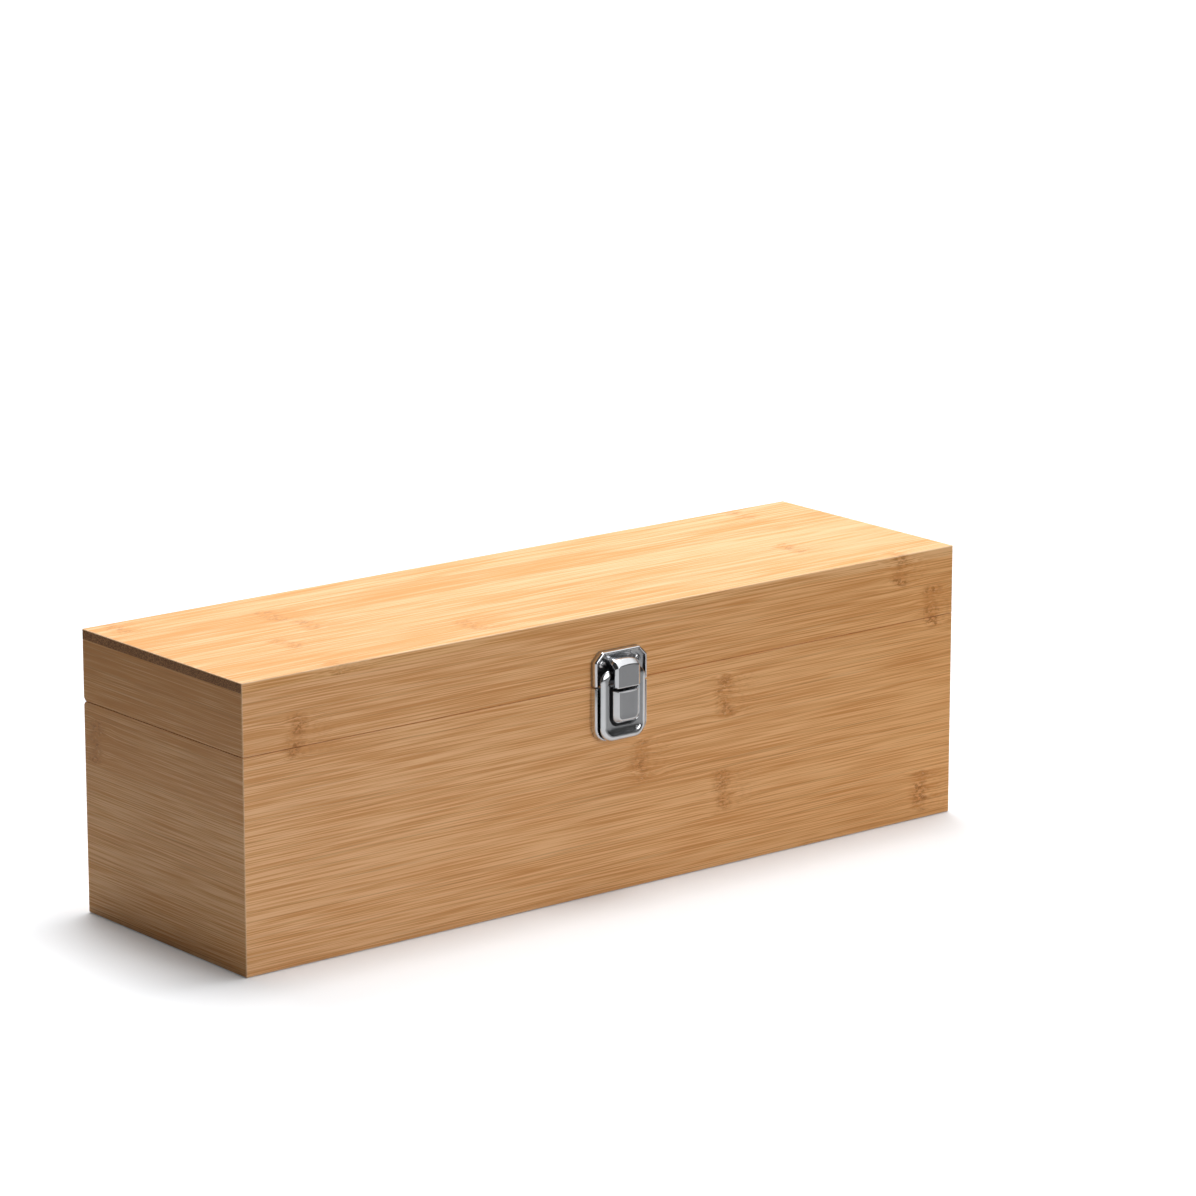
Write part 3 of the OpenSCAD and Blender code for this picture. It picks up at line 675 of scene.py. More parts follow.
def board(node, finish, body):
    """A bamboo board with sanded edges, from its CAD node."""
    grain_axis = WOODS[finish][0]
    work = merged_copy(node)
    soften(work, 1.2 * sizes().edge_softening, lambda edge: not on_rim(edge))
    soften(work, sizes().edge_softening, on_mitre)
    made = from_bmesh(node + "_bamboo", work, finish)
    mark_faces(made.data, "end_grain", lambda face: abs(face.normal[grain_axis]) > 0.9)
    mark_faces(made.data, "flat_face", lambda face: abs(face.normal.z) > 0.5)
    # Rounded edge faces, which the wood lightens as a painted highlight.
    mark_faces(made.data, "painted_edge_highlight", lambda face: max(abs(c) for c in face.normal) < 0.99)
    settle(made, body, "bamboo", node)


class BaseBoards(bpy.types.Operator):
    """Dress the four boards and the bottom of the base in bamboo"""

    bl_idname = "bamboo_box.base_boards"
    bl_label = "Base boards"

    def execute(self, context):
        for node, finish in (("base_front_board", "bamboo_front"), ("base_back_board", "bamboo_back"),
                             ("base_left_end", "bamboo_left"), ("base_right_end", "bamboo_right"),
                             ("base_bottom_panel", "bamboo_bottom")):
            board(node, finish, "base")
        return {"FINISHED"}


class LidBoards(bpy.types.Operator):
    """Dress the top panel and the four rails of the lid in bamboo"""

    bl_idname = "bamboo_box.lid_boards"
    bl_label = "Lid boards"

    def execute(self, context):
        for node, finish in (("lid_top_panel", "bamboo_top"), ("lid_front_rail", "bamboo_front"),
                             ("lid_back_rail", "bamboo_back"), ("lid_left_rail", "bamboo_left"),
                             ("lid_right_rail", "bamboo_right")):
            board(node, finish, "lid")
        return {"FINISHED"}


# ---------------------------------------------------------------- geometry node trees

def geometry_tree(name, sockets):
    """A Geometry Nodes tree with named inputs: (tree, nodes, inputs, output socket)."""
    tree = bpy.data.node_groups.new(name, "GeometryNodeTree")
    tree.interface.new_socket(name="Geometry", in_out="INPUT", socket_type="NodeSocketGeometry")
    for label, kind, default in sockets:
        socket = tree.interface.new_socket(name=label, in_out="INPUT", socket_type="NodeSocket" + kind)
        if default is not None:
            socket.default_value = default
    tree.interface.new_socket(name="Geometry", in_out="OUTPUT", socket_type="NodeSocketGeometry")
    nodes = Nodes(tree)
    start, end = nodes.add("NodeGroupInput"), nodes.add("NodeGroupOutput")
    return tree, nodes, start.outputs, end.inputs["Geometry"]


def close_tree(nodes, geometry, finish, end):
    """Ends a tree in real geometry with one material."""
    real = nodes.add("GeometryNodeRealizeInstances", {"Geometry": geometry})
    painted = nodes.add("GeometryNodeSetMaterial", {"Geometry": real.outputs[0], "Material": finish})
    nodes.feed(end, painted.outputs[0])


def row_tree():
    """Repeats the piece it is given in a straight row."""
    tree, n, into, end = geometry_tree("Row of pieces", (
        ("Count", "Int", 2), ("Start", "Vector", (0.0, 0.0, 0.0)), ("Step", "Vector", (0.01, 0.0, 0.0)),
        ("Finish", "Material", None)))
    line = n.add("GeometryNodeMeshLine", {"Count": into["Count"], "Start Location": into["Start"],
                                          "Offset": into["Step"]}, mode="OFFSET")
    copies = n.add("GeometryNodeInstanceOnPoints", {"Points": line.outputs[0], "Instance": into["Geometry"]})
    close_tree(n, copies.outputs[0], into["Finish"], end)
    return tree


def coil_tree():
    """Winds round wire into a straight coil spring along X, and joins it to the legs it is given."""
    tree, n, into, end = geometry_tree("Coil of wire", (
        ("Turns", "Float", 10.0), ("Coil radius", "Float", 0.001), ("Coil length", "Float", 0.006),
        ("Wire radius", "Float", 0.0002), ("Start", "Vector", (0.0, 0.0, 0.0)), ("Finish", "Material", None)))
    spiral = n.add("GeometryNodeCurveSpiral", {
        "Resolution": 20, "Rotations": into["Turns"], "Start Radius": into["Coil radius"],
        "End Radius": into["Coil radius"], "Height": into["Coil length"]})
    round_wire = n.add("GeometryNodeCurvePrimitiveCircle", {"Resolution": 8, "Radius": into["Wire radius"]})
    wound = n.add("GeometryNodeCurveToMesh", {
        "Curve": spiral.outputs[0], "Profile Curve": round_wire.outputs[0], "Fill Caps": True})
    laid = n.add("GeometryNodeTransform", {"Geometry": wound.outputs[0], "Translation": into["Start"],
                                           "Rotation": (0.0, math.pi / 2, 0.0)})
    with_legs = n.add("GeometryNodeJoinGeometry")
    n.feed(with_legs.inputs[0], laid.outputs[0])
    n.feed(with_legs.inputs[0], into["Geometry"])
    close_tree(n, with_legs.outputs[0], into["Finish"], end)
    return tree


TREE_MAKERS = {"row": row_tree, "coil": coil_tree}
TREES = {}


def grow(made, tree_name, values):
    """Runs a Geometry Nodes tree on an object and keeps the plain mesh."""
    if tree_name not in TREES:
        TREES[tree_name] = TREE_MAKERS[tree_name]()
    tree = TREES[tree_name]
    modifier = made.modifiers.new(tree_name, "NODES")
    modifier.node_group = tree
    keys = {item.name: item.identifier for item in tree.interface.items_tree if item.in_out == "INPUT"}
    for label, value in values.items():
        modifier[keys[label]] = value
    made.update_tag()
    return freeze(made)


def joined(name, pieces):
    """Joins finished objects into one mesh object with one material."""
    work = bmesh.new()
    for piece in pieces:
        work.from_mesh(piece.data)
    mesh = bpy.data.meshes.new(name)
    work.to_mesh(mesh)
    work.free()
    mesh.materials.append(pieces[0].data.materials[0])
    made = bpy.data.objects.new(name, mesh)
    bpy.context.scene.collection.objects.link(made)
    for piece in pieces:
        bpy.data.objects.remove(piece)
    return made


# ---------------------------------------------------------------- small metal parts

def arc(cx, cy, radius, start, stop, steps):
    """Points on an arc, with angles in degrees, each with its outward direction."""
    made = []
    for i in range(steps + 1):
        a = math.radians(start + (stop - start) * i / steps)
        made.append((cx + radius * math.cos(a), cy + radius * math.sin(a), math.cos(a), math.sin(a)))
    return made


def ring(work, points):
    return [work.verts.new(p) for p in points]


def bridge(work, a, b, closed=True):
    """Joins two rings of equal count with four-sided faces."""
    count = len(a)
    for i in range(count if closed else count - 1):
        j = (i + 1) % count
        corners = []
        for vert in (a[i], a[j], b[j], b[i]):
            if vert not in corners:
                corners.append(vert)
        if len(corners) > 2:
            work.faces.new(corners)


def skin(work, rings, closed=True):
    """Joins each ring to the next."""
    for a, b in zip(rings, rings[1:]):
        bridge(work, a, b, closed)


def prism(work, near, far):
    """A closed bar between two outlines of equal count."""
    a, b = ring(work, near), ring(work, far)
    bridge(work, a, b)
    work.faces.new(a)
    work.faces.new(b)


def fill(work, *loops):
    """Fills the flat region between an outer loop and its holes."""
    edges = []
    for loop in loops:
        for a, b in zip(loop, loop[1:] + loop[:1]):
            edges.append(work.edges.get((a, b)) or work.edges.new((a, b)))
    bmesh.ops.triangle_fill(work, edges=edges, use_beauty=True, use_dissolve=False)


def lathe(work, profile, place, segments=40):
    """Turns a profile of (radius, height) pairs round Z; place maps a point to its position."""
    rings = []
    for radius, height in profile:
        if radius < 1e-9:
            rings.append([work.verts.new(place(0, 0, height))] * segments)
        else:
            rings.append(ring(work, [place(radius * math.cos(2 * math.pi * i / segments),
                                           radius * math.sin(2 * math.pi * i / segments), height)
                                     for i in range(segments)]))
    skin(work, rings)
    return rings


def cross_outline(reach, half_width):
    r, h = reach, half_width
    arm = [(r, -h), (r, h), (h, h), (h, r), (-h, r), (-h, h)]
    return arm + [(-x, -y) for x, y in arm]


def cross_head(work, outer, height, reach, half_width, depth, place):
    """Closes a screw head with a flat top that has a cross recess in it."""
    outline = cross_outline(reach, half_width)
    rim = ring(work, [place(x, y, height) for x, y in outline])
    fill(work, outer, rim)
    floor = ring(work, [place(0.72 * x, 0.72 * y, height - depth) for x, y in outline])
    bridge(work, rim, floor)
    work.faces.new(floor)


def hinge_screw(name, up):
    """A countersunk screw with a cross recess, at the origin of its head."""
    radius, shank, head = 1.5, 0.75, 0.03
    direction = -1 if up else 1
    work = bmesh.new()

    def place(x, y, h):
        return Vector((x, y * direction, h * direction)) * MM

    profile = [(0, -8.0), (0.1, -8.0), (0.62, -7.3), (shank, -6.6), (shank, -1.05), (radius - 0.08, -0.14),
               (radius, -0.05), (radius - 0.05, 0.0), (1.32, head)]
    rings = lathe(work, profile, place, 32)
    cross_head(work, rings[-1], head, 0.85, 0.17, 0.5, place)
    return from_bmesh(name, work, "screw_steel", 32)


HINGE_AT = 110 * MM
SCREW_PITCH = 18 * MM


class HingeScrews(bpy.types.Operator):
    """Repeat the countersunk hinge screws in rows, one row for each leaf"""

    bl_idname = "bamboo_box.hinge_screws"
    bl_label = "Hinge screws"

    def execute(self, context):
        for node, up, body in (("hinge_screws_base", False, "base"), ("hinge_screws_lid", True, "lid")):
            low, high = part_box(node)
            level = (low.z if up else high.z)
            y = (low.y + high.y) / 2
            rows = []
            for side in (-1, 1):
                one = hinge_screw(f"{node}_{side}", up)
                rows.append(grow(one, "row", {
                    "Count": 2, "Start": (side * HINGE_AT - SCREW_PITCH / 2, y, level),
                    "Step": (SCREW_PITCH, 0, 0), "Finish": material("screw_steel")}))
            settle(joined(node + "_turned", rows), body, "screw_steel", node)
        return {"FINISHED"}


# The latch's sizes, in mm: across, above the split and out from the wood.
SHEET = 1.2
PLATE_HALF = 13.3
PLATE_END = 0.3
LEVER_HALF = 11.4
PIVOT = (-7.0, 2.5)
SPRING_HALF = 2.8
WIRE = 0.2


def on_front(x, y, reach):
    """A point of the latch: across, above the split and out from the front face, in mm."""
    return Vector((x * MM, -HALF_DEPTH - reach * MM, SPLIT + y * MM))


class LatchScrews(bpy.types.Operator):
    """Repeat the round-headed latch screws, one pair for each plate"""

    bl_idname = "bamboo_box.latch_screws"
    bl_label = "Latch screws"

    def execute(self, context):
        c, s = turned(23)

        def place(a, b, h):
            return Vector((a * c - b * s, -h, a * s + b * c)) * MM

        for node, x, height, body in (("latch_keeper_screws", 8.9, 8.8, "lid"),
                                      ("latch_plate_screws", 7.0, -17.5, "base")):
            work = bmesh.new()
            profile = [(0, -7.0), (0.12, -7.0), (0.7, -6.1), (0.9, -5.6), (0.9, 0.0), (1.62, 0.0),
                       (1.7, 0.08), (1.7, 0.28)]
            profile += [p[:2] for p in arc(0.95, 0.22, 0.75, 12, 78, 5)]
            profile += [(0.98, 1.0)]
            rings = lathe(work, profile, place, 40)
            cross_head(work, rings[-1], 1.0, 0.86, 0.2, 0.55, place)
            one = from_bmesh(node + "_one", work, "screw_steel", 32)
            made = grow(one, "row", {"Count": 2, "Start": on_front(-x, height, SHEET),
                                     "Step": (2 * x * MM, 0, 0), "Finish": material("screw_steel")})
            made.name = node + "_turned"
            settle(made, body, "screw_steel", node)
        return {"FINISHED"}


def pin(node, finish, body, tip=None):
    """A straight pin along X with eased ends, in its CAD node's place."""
    low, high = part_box(node)
    middle, half, radius = (low + high) / 2, (high.x - low.x) / 2, (high.z - low.z) / 2
    tip = tip or 0.35 * radius
    work = bmesh.new()
    lathe(work, [(0, -half), (radius * 0.7, -half), (radius, tip - half), (radius, half - tip),
                 (radius * 0.7, half), (0, half)], lambda a, b, h: middle + Vector((h, a, b)), 24)
    settle(from_bmesh(node + "_steel", work, finish, 32), body, finish, node)


class HingeLeaves(bpy.types.Operator):
    """Ease the edges of the hinge leaves and build their pins"""

    bl_idname = "bamboo_box.hinge_leaves"
    bl_label = "Hinge leaves and pins"

    def execute(self, context):
        for name in ("left", "right"):
            for body in ("base", "lid"):
                node = f"hinge_leaf_{body}_{name}"
                work = merged_copy(node)
                soften(work, 0.12 * MM)
                made = from_bmesh(node + "_steel", work, "hinge_steel", 32)
                settle(made, body, "hinge_steel", node)
            pin(f"hinge_pin_{name}", "hinge_steel", "base")
        return {"FINISHED"}


# ---------------------------------------------------------------- latch

def rounded(corners, closed=True):
    """A path through corners of (x, y, radius), as points with outward directions.

    The corners run anticlockwise."""
    count = len(corners)
    made = []
    for i, (x, y, radius) in enumerate(corners):
        if not closed and i in (0, count - 1):
            other = corners[1] if i == 0 else corners[-2]
            along = Vector((other[0] - x, other[1] - y)).normalized() * (1 if i == 0 else -1)
            made.append((x, y, along.y, -along.x))
            continue
        before, after = corners[i - 1], corners[(i + 1) % count]
        come = Vector((x - before[0], y - before[1])).normalized()
        leave = Vector((after[0] - x, after[1] - y)).normalized()
        turn = come.angle_signed(leave)
        back = radius * math.tan(abs(turn) / 2)
        start = Vector((x, y)) - come * back
        normal = Vector((come.y, -come.x))
        centre = start - normal * radius
        first = math.degrees(math.atan2(normal.y, normal.x))
        made += arc(centre.x, centre.y, radius, first, first + math.degrees(abs(turn)), 8)
    return made


def upright(half, low, top, low_radius, top_radius):
    """A rounded path round an upright plate that is the same left and right."""
    return rounded([(-half, low, low_radius), (half, low, low_radius), (half, top, top_radius),
                    (-half, top, top_radius)])


def within_one(value):
    return max(0.0, min(1.0, value))


def inset(path, distance, reach):
    """The path moved inwards, at a distance from the wood."""
    return [on_front(x - nx * distance, y - ny * distance, reach) for x, y, nx, ny in path]


def turned(degrees):
    """The cosine and the sine of an angle."""
    return math.cos(math.radians(degrees)), math.sin(math.radians(degrees))


# The rim of a latch plate, as (distance in from its outline, distance from the wood), from outside to inside:
# a broad outer rounding, a tight inner one, and a fillet down to the sheet.
RIM_PROFILE = [(0.0, 0.0), (0.0, 0.9)]
RIM_PROFILE += [(0.88 - 0.88 * c, 1.5 + 1.5 * s) for c, s in map(turned, range(0, 91, 10))]
RIM_PROFILE += [(0.88 + 0.32 * s, 2.68 + 0.32 * c) for c, s in map(turned, range(20, 91, 14))]
RIM_PROFILE += [(SHEET, 1.6), (1.23, 1.42), (1.32, 1.27), (1.45, SHEET)]


def rimmed_plate(work, corners):
    """A stamped plate: a floor, and a rim that stands up along the open path of corners."""
    path = rounded(corners, closed=False)
    rings = [ring(work, inset(path, d, reach)) for d, reach in RIM_PROFILE]
    skin(work, rings, closed=False)
    inner = rings[-1]
    foot = ring(work, inset([path[0], path[-1]], RIM_PROFILE[-1][0], 0.0))
    fill(work, inner)
    work.faces.new([r[0] for r in rings] + [foot[0]])
    work.faces.new([r[-1] for r in reversed(rings)] + [foot[1]])
    work.faces.new([inner[0], inner[-1], foot[1], foot[0]])
    fill(work, rings[0] + [foot[1], foot[0]])


def soften_end(work, height):
    """Rounds the sharp outward edges at a height above the split, in mm."""
    level = SPLIT + height * MM
    chosen = [edge for edge in work.edges
              if len(edge.link_faces) == 2 and edge.is_convex and edge.calc_face_angle() > math.radians(50)
              and all(abs(vert.co.z - level) < 1e-6 for vert in edge.verts)]
    bevel(work, chosen, 0.22 * MM, 3)


def hook_line():
    """The hook's outer and inner sides, as (distance from the wood, height above the split)."""
    outer = [(1.2, 12.1), (1.26, 11.85), (1.5, 11.62), (1.95, 11.45), (2.6, 11.3), (3.4, 11.14), (4.2, 10.97),
             (4.8, 10.8), (5.25, 10.58), (5.6, 10.32)]
    outer += [p[:2] for p in arc(6.5, 8.3, 0.9, 50, 0, 6)]
    outer += [(7.4, 5.6), (7.4, 3.4), (7.4, 1.4), (7.4, 0.1)]
    outer += [p[:2] for p in arc(6.95, -0.25, 0.45, 0, -90, 5)]
    inner = [(5.35, -0.7), (5.3, -0.62), (5.3, 0.22), (5.38, 0.3), (6.1, 0.3), (6.2, 0.4), (6.2, 1.6),
             (6.2, 4.0), (6.2, 7.9), (6.05, 8.25), (5.3, 9.0), (4.7, 9.4), (4.1, 9.65), (3.2, 9.9),
             (1.6, 10.2), (0.9, 10.3)]
    return outer, inner


def hook(work):
    """The keeper's hook: crowned across its width, with bevelled side edges."""
    outer, inner = hook_line()
    line = [(0.9, 12.1)] + outer + inner
    half = 6.3
    # (distance in from a side edge, how far the outer line is drawn in there, how far the inner line is)
    side = [(0.0, 0.74, 0.10), (0.05, 0.70, 0.03), (1.06, 0.07, 0.0), (1.24, 0.0, 0.0)]
    stations = [(-half + x, out, back) for x, out, back in side]
    stations += [(-half + 1.5 + i * (2 * half - 3.0) / 9, 0.0, 0.0) for i in range(10)]
    stations += [(half - x, out, back) for x, out, back in reversed(side)]
    normals = []
    count = len(line)
    for i in range(count):
        before, after = Vector(line[i - 1]), Vector(line[(i + 1) % count])
        along = (after - before).normalized()
        normals.append(Vector((-along.y, along.x)))
    rings = []
    for x, out, back in stations:
        crown = 1.15 * (abs(x) / half) ** 2.2
        points = []
        for i, ((reach, height), normal) in enumerate(zip(line, normals)):
            lift = within_one((height - 3.4) / 3.0)
            near = within_one((reach - 1.6) / 3.0)
            pull = (out if i <= len(outer) else back) * min(1.0, max(0.0, (reach - 1.3) / 1.5) + (height < 8))
            points.append(on_front(x, height - crown * lift * near - normal.y * pull,
                                   reach - normal.x * pull))
        rings.append(ring(work, points))
    skin(work, rings)
    work.faces.new(rings[0])
    work.faces.new(rings[-1])


class LatchKeeper(bpy.types.Operator):
    """Build the stamped keeper plate and its crowned hook on the lid"""

    bl_idname = "bamboo_box.latch_keeper"
    bl_label = "Latch keeper"

    def execute(self, context):
        work = bmesh.new()
        w, top, cut, r = PLATE_HALF, 14.0, 3.7, 1.5
        rimmed_plate(work, [(w, PLATE_END, 0), (w, top - cut, r), (w - cut, top, r), (-w + cut, top, r),
                            (-w, top - cut, r), (-w, PLATE_END, 0)])
        soften_end(work, PLATE_END)
        hook(work)
        made = from_bmesh("latch_keeper_stamped", work, "latch_steel", 40)
        # Painted shade: the keeper's floor near the wood is darkened half way.
        mark_faces(made.data, "groove", lambda face: 0.5 * (face.center.y > -HALF_DEPTH - 1.25 * MM))
        settle(made, "lid", "latch_steel", "latch_keeper")
        return {"FINISHED"}


def lug(work, x0, x1, foot, rises):
    """A lug round the pivot: a plate with a round end, which rises from its foot or hangs from it."""
    radius = 0.8
    pivot_y, pivot_reach = PIVOT
    turn = 1 if rises else -1
    outline = [(pivot_y - radius, foot), (pivot_y + radius, foot)]
    outline += [(pivot_y + radius * c, pivot_reach + turn * radius * s)
                for c, s in map(turned, range(0, 181, 20))]
    prism(work, [on_front(x0, y, p) for y, p in outline], [on_front(x1, y, p) for y, p in outline])


class LatchBasePlate(bpy.types.Operator):
    """Build the stamped base plate with its rim and pivot lugs"""

    bl_idname = "bamboo_box.latch_base_plate"
    bl_label = "Latch base plate"

    def execute(self, context):
        work = bmesh.new()
        w, low, r = PLATE_HALF, -22.6, 6.0
        rimmed_plate(work, [(-w, -PLATE_END, 0), (-w, low, r), (w, low, r), (w, -PLATE_END, 0)])
        soften_end(work, -PLATE_END)
        for side in (-1, 1):
            lug(work, side * 8.1, side * 9.1, 1.1, True)
        made = from_bmesh("latch_base_plate_stamped", work, "latch_steel", 40)
        settle(made, "base", "latch_steel", "latch_base_plate")
        return {"FINISHED"}


def in_groove(face):
    """True for a face in the groove round the bill or in the window above it."""
    x, y, z = face.center / MM
    reach, height = -HALF_DEPTH / MM - y, z - SPLIT / MM
    return reach < 5.3 and abs(x) < 7.5 and -16.4 < height < 0.99 and (reach < 4.45 or abs(x) < 6.4)


class LatchLever(bpy.types.Operator):
    """Build the stamped lever: a crowned frame, its window and the dished bill"""

    bl_idname = "bamboo_box.latch_lever"
    bl_label = "Latch lever"

    def execute(self, context):
        work = bmesh.new()
        frame_path = upright(LEVER_HALF, -22.5, 6.4, 6.0, 5.0)
        # (distance in from the outline, distance from the wood, share of the flare at the lower lip)
        face = [(0.0, 3.4, 0), (0.0, 3.6, 0.2), (0.06, 3.72, 0.5), (0.2, 3.86, 0.75), (0.45, 4.03, 0.9),
                (0.8, 4.2, 1.0), (1.2, 4.36, 1.0), (1.65, 4.5, 0.94), (2.1, 4.6, 0.82), (2.5, 4.65, 0.66),
                (2.9, 4.66, 0.5), (3.2, 4.63, 0.36), (3.4, 4.6, 0.26)]
        full_flare = 0.85 * MM
        rings = []
        for distance, reach, flare in face:
            line = inset(frame_path, distance, reach)
            for point, (x, y, nx, ny) in zip(line, frame_path):
                point.y -= full_flare * flare * within_one(-0.15 - 1.2 * ny)
            rings.append(ring(work, line))
        skin(work, rings)

        def level(path, reach):
            return ring(work, inset(path, 0.0, reach))

        def groove_ring(d, reach):
            return level(upright(7.8 - d, d - 16.7, 1.0, 4.6 - d, 0.3), reach)

        def bill_ring(d, reach):
            return level(upright(6.3 - d, d - 15.2, -1.6 - 0.3 * d, max(3.0 - 0.75 * d, 0.5), 0.3), reach)

        slope = [groove_ring(*spot) for spot in (
            (0.0, 4.6), (0.2, 4.57), (0.45, 4.42), (0.85, 4.02), (1.05, 3.86), (1.3, 3.8))]
        fill(work, rings[-1], slope[0])
        window = upright(6.4, -1.45, 0.85, 0.3, 0.3)
        lip = [level(window, reach) for reach in (3.8, 3.4)]
        hollow = upright(5.1, -14.0, -3.1, 1.8, 0.4)
        back_hole = level(hollow, 3.4)
        fill(work, rings[0], lip[-1], back_hole)
        roof = level(hollow, 6.2)
        bridge(work, back_hole, roof)
        fill(work, roof)
        bill = [bill_ring(*spot) for spot in (
            (0.0, 3.8), (0.0, 5.35), (0.07, 5.5), (1.2, 7.05), (1.4, 7.25), (1.65, 7.36), (1.9, 7.38),
            (2.3, 7.33), (2.9, 7.27), (3.6, 7.24))]
        fill(work, slope[-1], lip[0], bill[0])
        for loops in (slope, lip, bill):
            skin(work, loops)
        fill(work, bill[-1])
        for side in (-1, 1):
            x0, x1 = sorted((side * (LEVER_HALF - SHEET), side * LEVER_HALF))
            outline = [(x0, -16.5), (x1, -16.5), (x1, 1.4), (x0, 1.4)]
            prism(work, [on_front(x, y, 2.9) for x, y in outline], [on_front(x, y, 3.8) for x, y in outline])
            lug(work, x0, x1, 3.6, False)
        made = from_bmesh("latch_lever_stamped", work, "latch_steel", 40)
        # Painted shade in the groove round the bill and in the window above it.
        mark_faces(made.data, "groove", in_groove)
        settle(made, "latch_lever", "latch_steel", "latch_lever")
        return {"FINISHED"}


class LatchPivot(bpy.types.Operator):
    """Build the pivot pin and wind the return spring round it"""

    bl_idname = "bamboo_box.latch_pivot"
    bl_label = "Pivot pin and spring"

    def execute(self, context):
        pin("latch_pivot_pin", "screw_steel", "base", 0.15 * MM)
        work = bmesh.new()
        round_wire = [(WIRE * c, WIRE * s) for c, s in map(turned, range(0, 360, 45))]
        lower, upper = ((-7.9, 2.3), (-12.6, 1.5)), ((-6.2, 2.9), (3.3, 3.2))
        for x, ends in ((-SPRING_HALF, lower), (SPRING_HALF, upper)):
            prism(work, *([on_front(x + a, y, reach + b) for a, b in round_wire] for y, reach in ends))
        legs = from_bmesh("latch_spring_wound", work, "screw_steel", 50)
        spring = grow(legs, "coil", {
            "Turns": sizes().coil_turns, "Coil radius": 1.05 * MM, "Coil length": 2 * SPRING_HALF * MM,
            "Wire radius": WIRE * MM, "Start": on_front(-SPRING_HALF, *PIVOT),
            "Finish": material("screw_steel")})
        spring.data.shade_smooth()
        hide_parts("latch_spring")
        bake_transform(spring)
        return {"FINISHED"}


# ---------------------------------------------------------------- inside

def ripple(point, size):
    """A smooth, repeatable wave in -1..1 for uneven foam and felt."""
    x, y, z = (c / size for c in point)
    waves = (1.7 * x + 0.6 * y, 1.3 * y - 0.8 * z + 1.1, 1.9 * z + 0.7 * x + 2.3)
    return sum(math.sin(wave) for wave in waves) / 3


def foam_block(node, body):
    """A die-cut foam block with soft edges, slightly uneven, inside its CAD node's space."""
    work = merged_copy(node)
    made = from_bmesh(node + "_foam", work, "foam")
    remesh = made.modifiers.new("Foam cells", "REMESH")
    remesh.mode = "VOXEL"
    remesh.voxel_size = sizes().foam_voxel
    smooth = made.modifiers.new("Soft edges", "SMOOTH")
    smooth.factor, smooth.iterations = 0.5, 4
    freeze(made)
    low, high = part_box(node)
    pulled_in, uneven, clear = 0.12 * MM, 0.1 * MM, 0.05 * MM
    moved = []
    for vert in made.data.vertices:
        spot = vert.co + vert.normal * (uneven * ripple(vert.co, 11 * MM) - pulled_in)
        moved += [min(max(c, a + clear), b - clear) for c, a, b in zip(spot, low, high)]
    made.data.vertices.foreach_set("co", moved)
    made.data.update()
    made.data.shade_smooth()
    made.data.materials.clear()
    made.data.materials.append(material("foam"))
    settle(made, body, "foam", node)


class FoamBlocks(bpy.types.Operator):
    """Build the foam cradles and the foam tray of the lid"""

    bl_idname = "bamboo_box.foam_blocks"
    bl_label = "Foam blocks"

    def execute(self, context):
        foam_block("body_cradle", "base")
        foam_block("neck_cradle", "base")
        foam_block("accessory_tray", "lid")
        return {"FINISHED"}


class FeltFloor(bpy.types.Operator):
    """Lay the felt floor in the base"""

    bl_idname = "bamboo_box.felt_floor"
    bl_label = "Felt floor"

    def execute(self, context):
        low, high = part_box("floor_liner")
        work = bmesh.new()
        columns, rows = 110, 30
        lift, wave = 0.08 * MM, 0.05 * MM
        grid = []
        for j in range(rows + 1):
            y = low.y + (high.y - low.y) * j / rows
            line = []
            for i in range(columns + 1):
                x = low.x + (high.x - low.x) * i / columns
                line.append((x, y, low.z + lift + wave * ripple((x, y, 0), 13 * MM)))
            grid.append(ring(work, line))
        skin(work, grid, closed=False)
        made = from_bmesh("floor_liner_felt", work, "felt")
        thick = made.modifiers.new("Thickness", "SOLIDIFY")
        thick.thickness = 0.8 * MM
        thick.offset = 1.0 if made.data.polygons[0].normal.z > 0 else -1.0
        freeze(made)
        made.data.shade_smooth()
        settle(made, "base", "felt", "floor_liner")
        return {"FINISHED"}


# ---------------------------------------------------------------- stage

# The camera that the photograph's edges and corners fit.
CAMERA_PLACE = (-1.2079, -1.5403, 0.5894)
CAMERA_DROP = 0.2403
CAMERA_TURN = -0.6785
CAMERA_LENS = 150.85


def grey(level):
    return level, level, level


def studio_world():
    """Soft surroundings, darker on the left and brighter low behind.

    The metal reflects a bright sky on the right and a bright card low behind."""
    world = bpy.data.worlds.new("Studio")
    world.use_nodes = True
    n = Nodes(world.node_tree)
    world.node_tree.nodes.clear()
    direction = n.add("ShaderNodeTexCoord").outputs["Generated"]
    x, y, z = n.apart(direction)
    right = n.span(x, -0.7, 0.8)
    low_behind = n.times(n.span(y, 0.2, 0.7), n.span(z, 0.15, 0.5, 1.0, 0.0))
    lighting = n.times_plus(low_behind, 0.35, n.times_plus(right, 0.22, 0.02))
    card = n.times(n.span(y, 0.1, 0.4), n.span(z, 0.36, 0.50, 1.0, 0.0))
    above = n.times(n.span(z, 0.45, 0.7), n.span(x, -0.5, 0.3))
    mirrored = n.plus(card, n.times_plus(above, 1.2, 0.03))
    glossy = n.add("ShaderNodeLightPath").outputs["Is Glossy Ray"]
    level = n.times_plus(n.minus(mirrored, lighting), glossy, lighting)
    light = n.add("ShaderNodeBackground", {"Color": (1.0, 1.0, 1.0), "Strength": level})
    end = n.add("ShaderNodeOutputWorld")
    n.feed(end.inputs["Surface"], light.outputs[0])
    bpy.context.scene.world = world


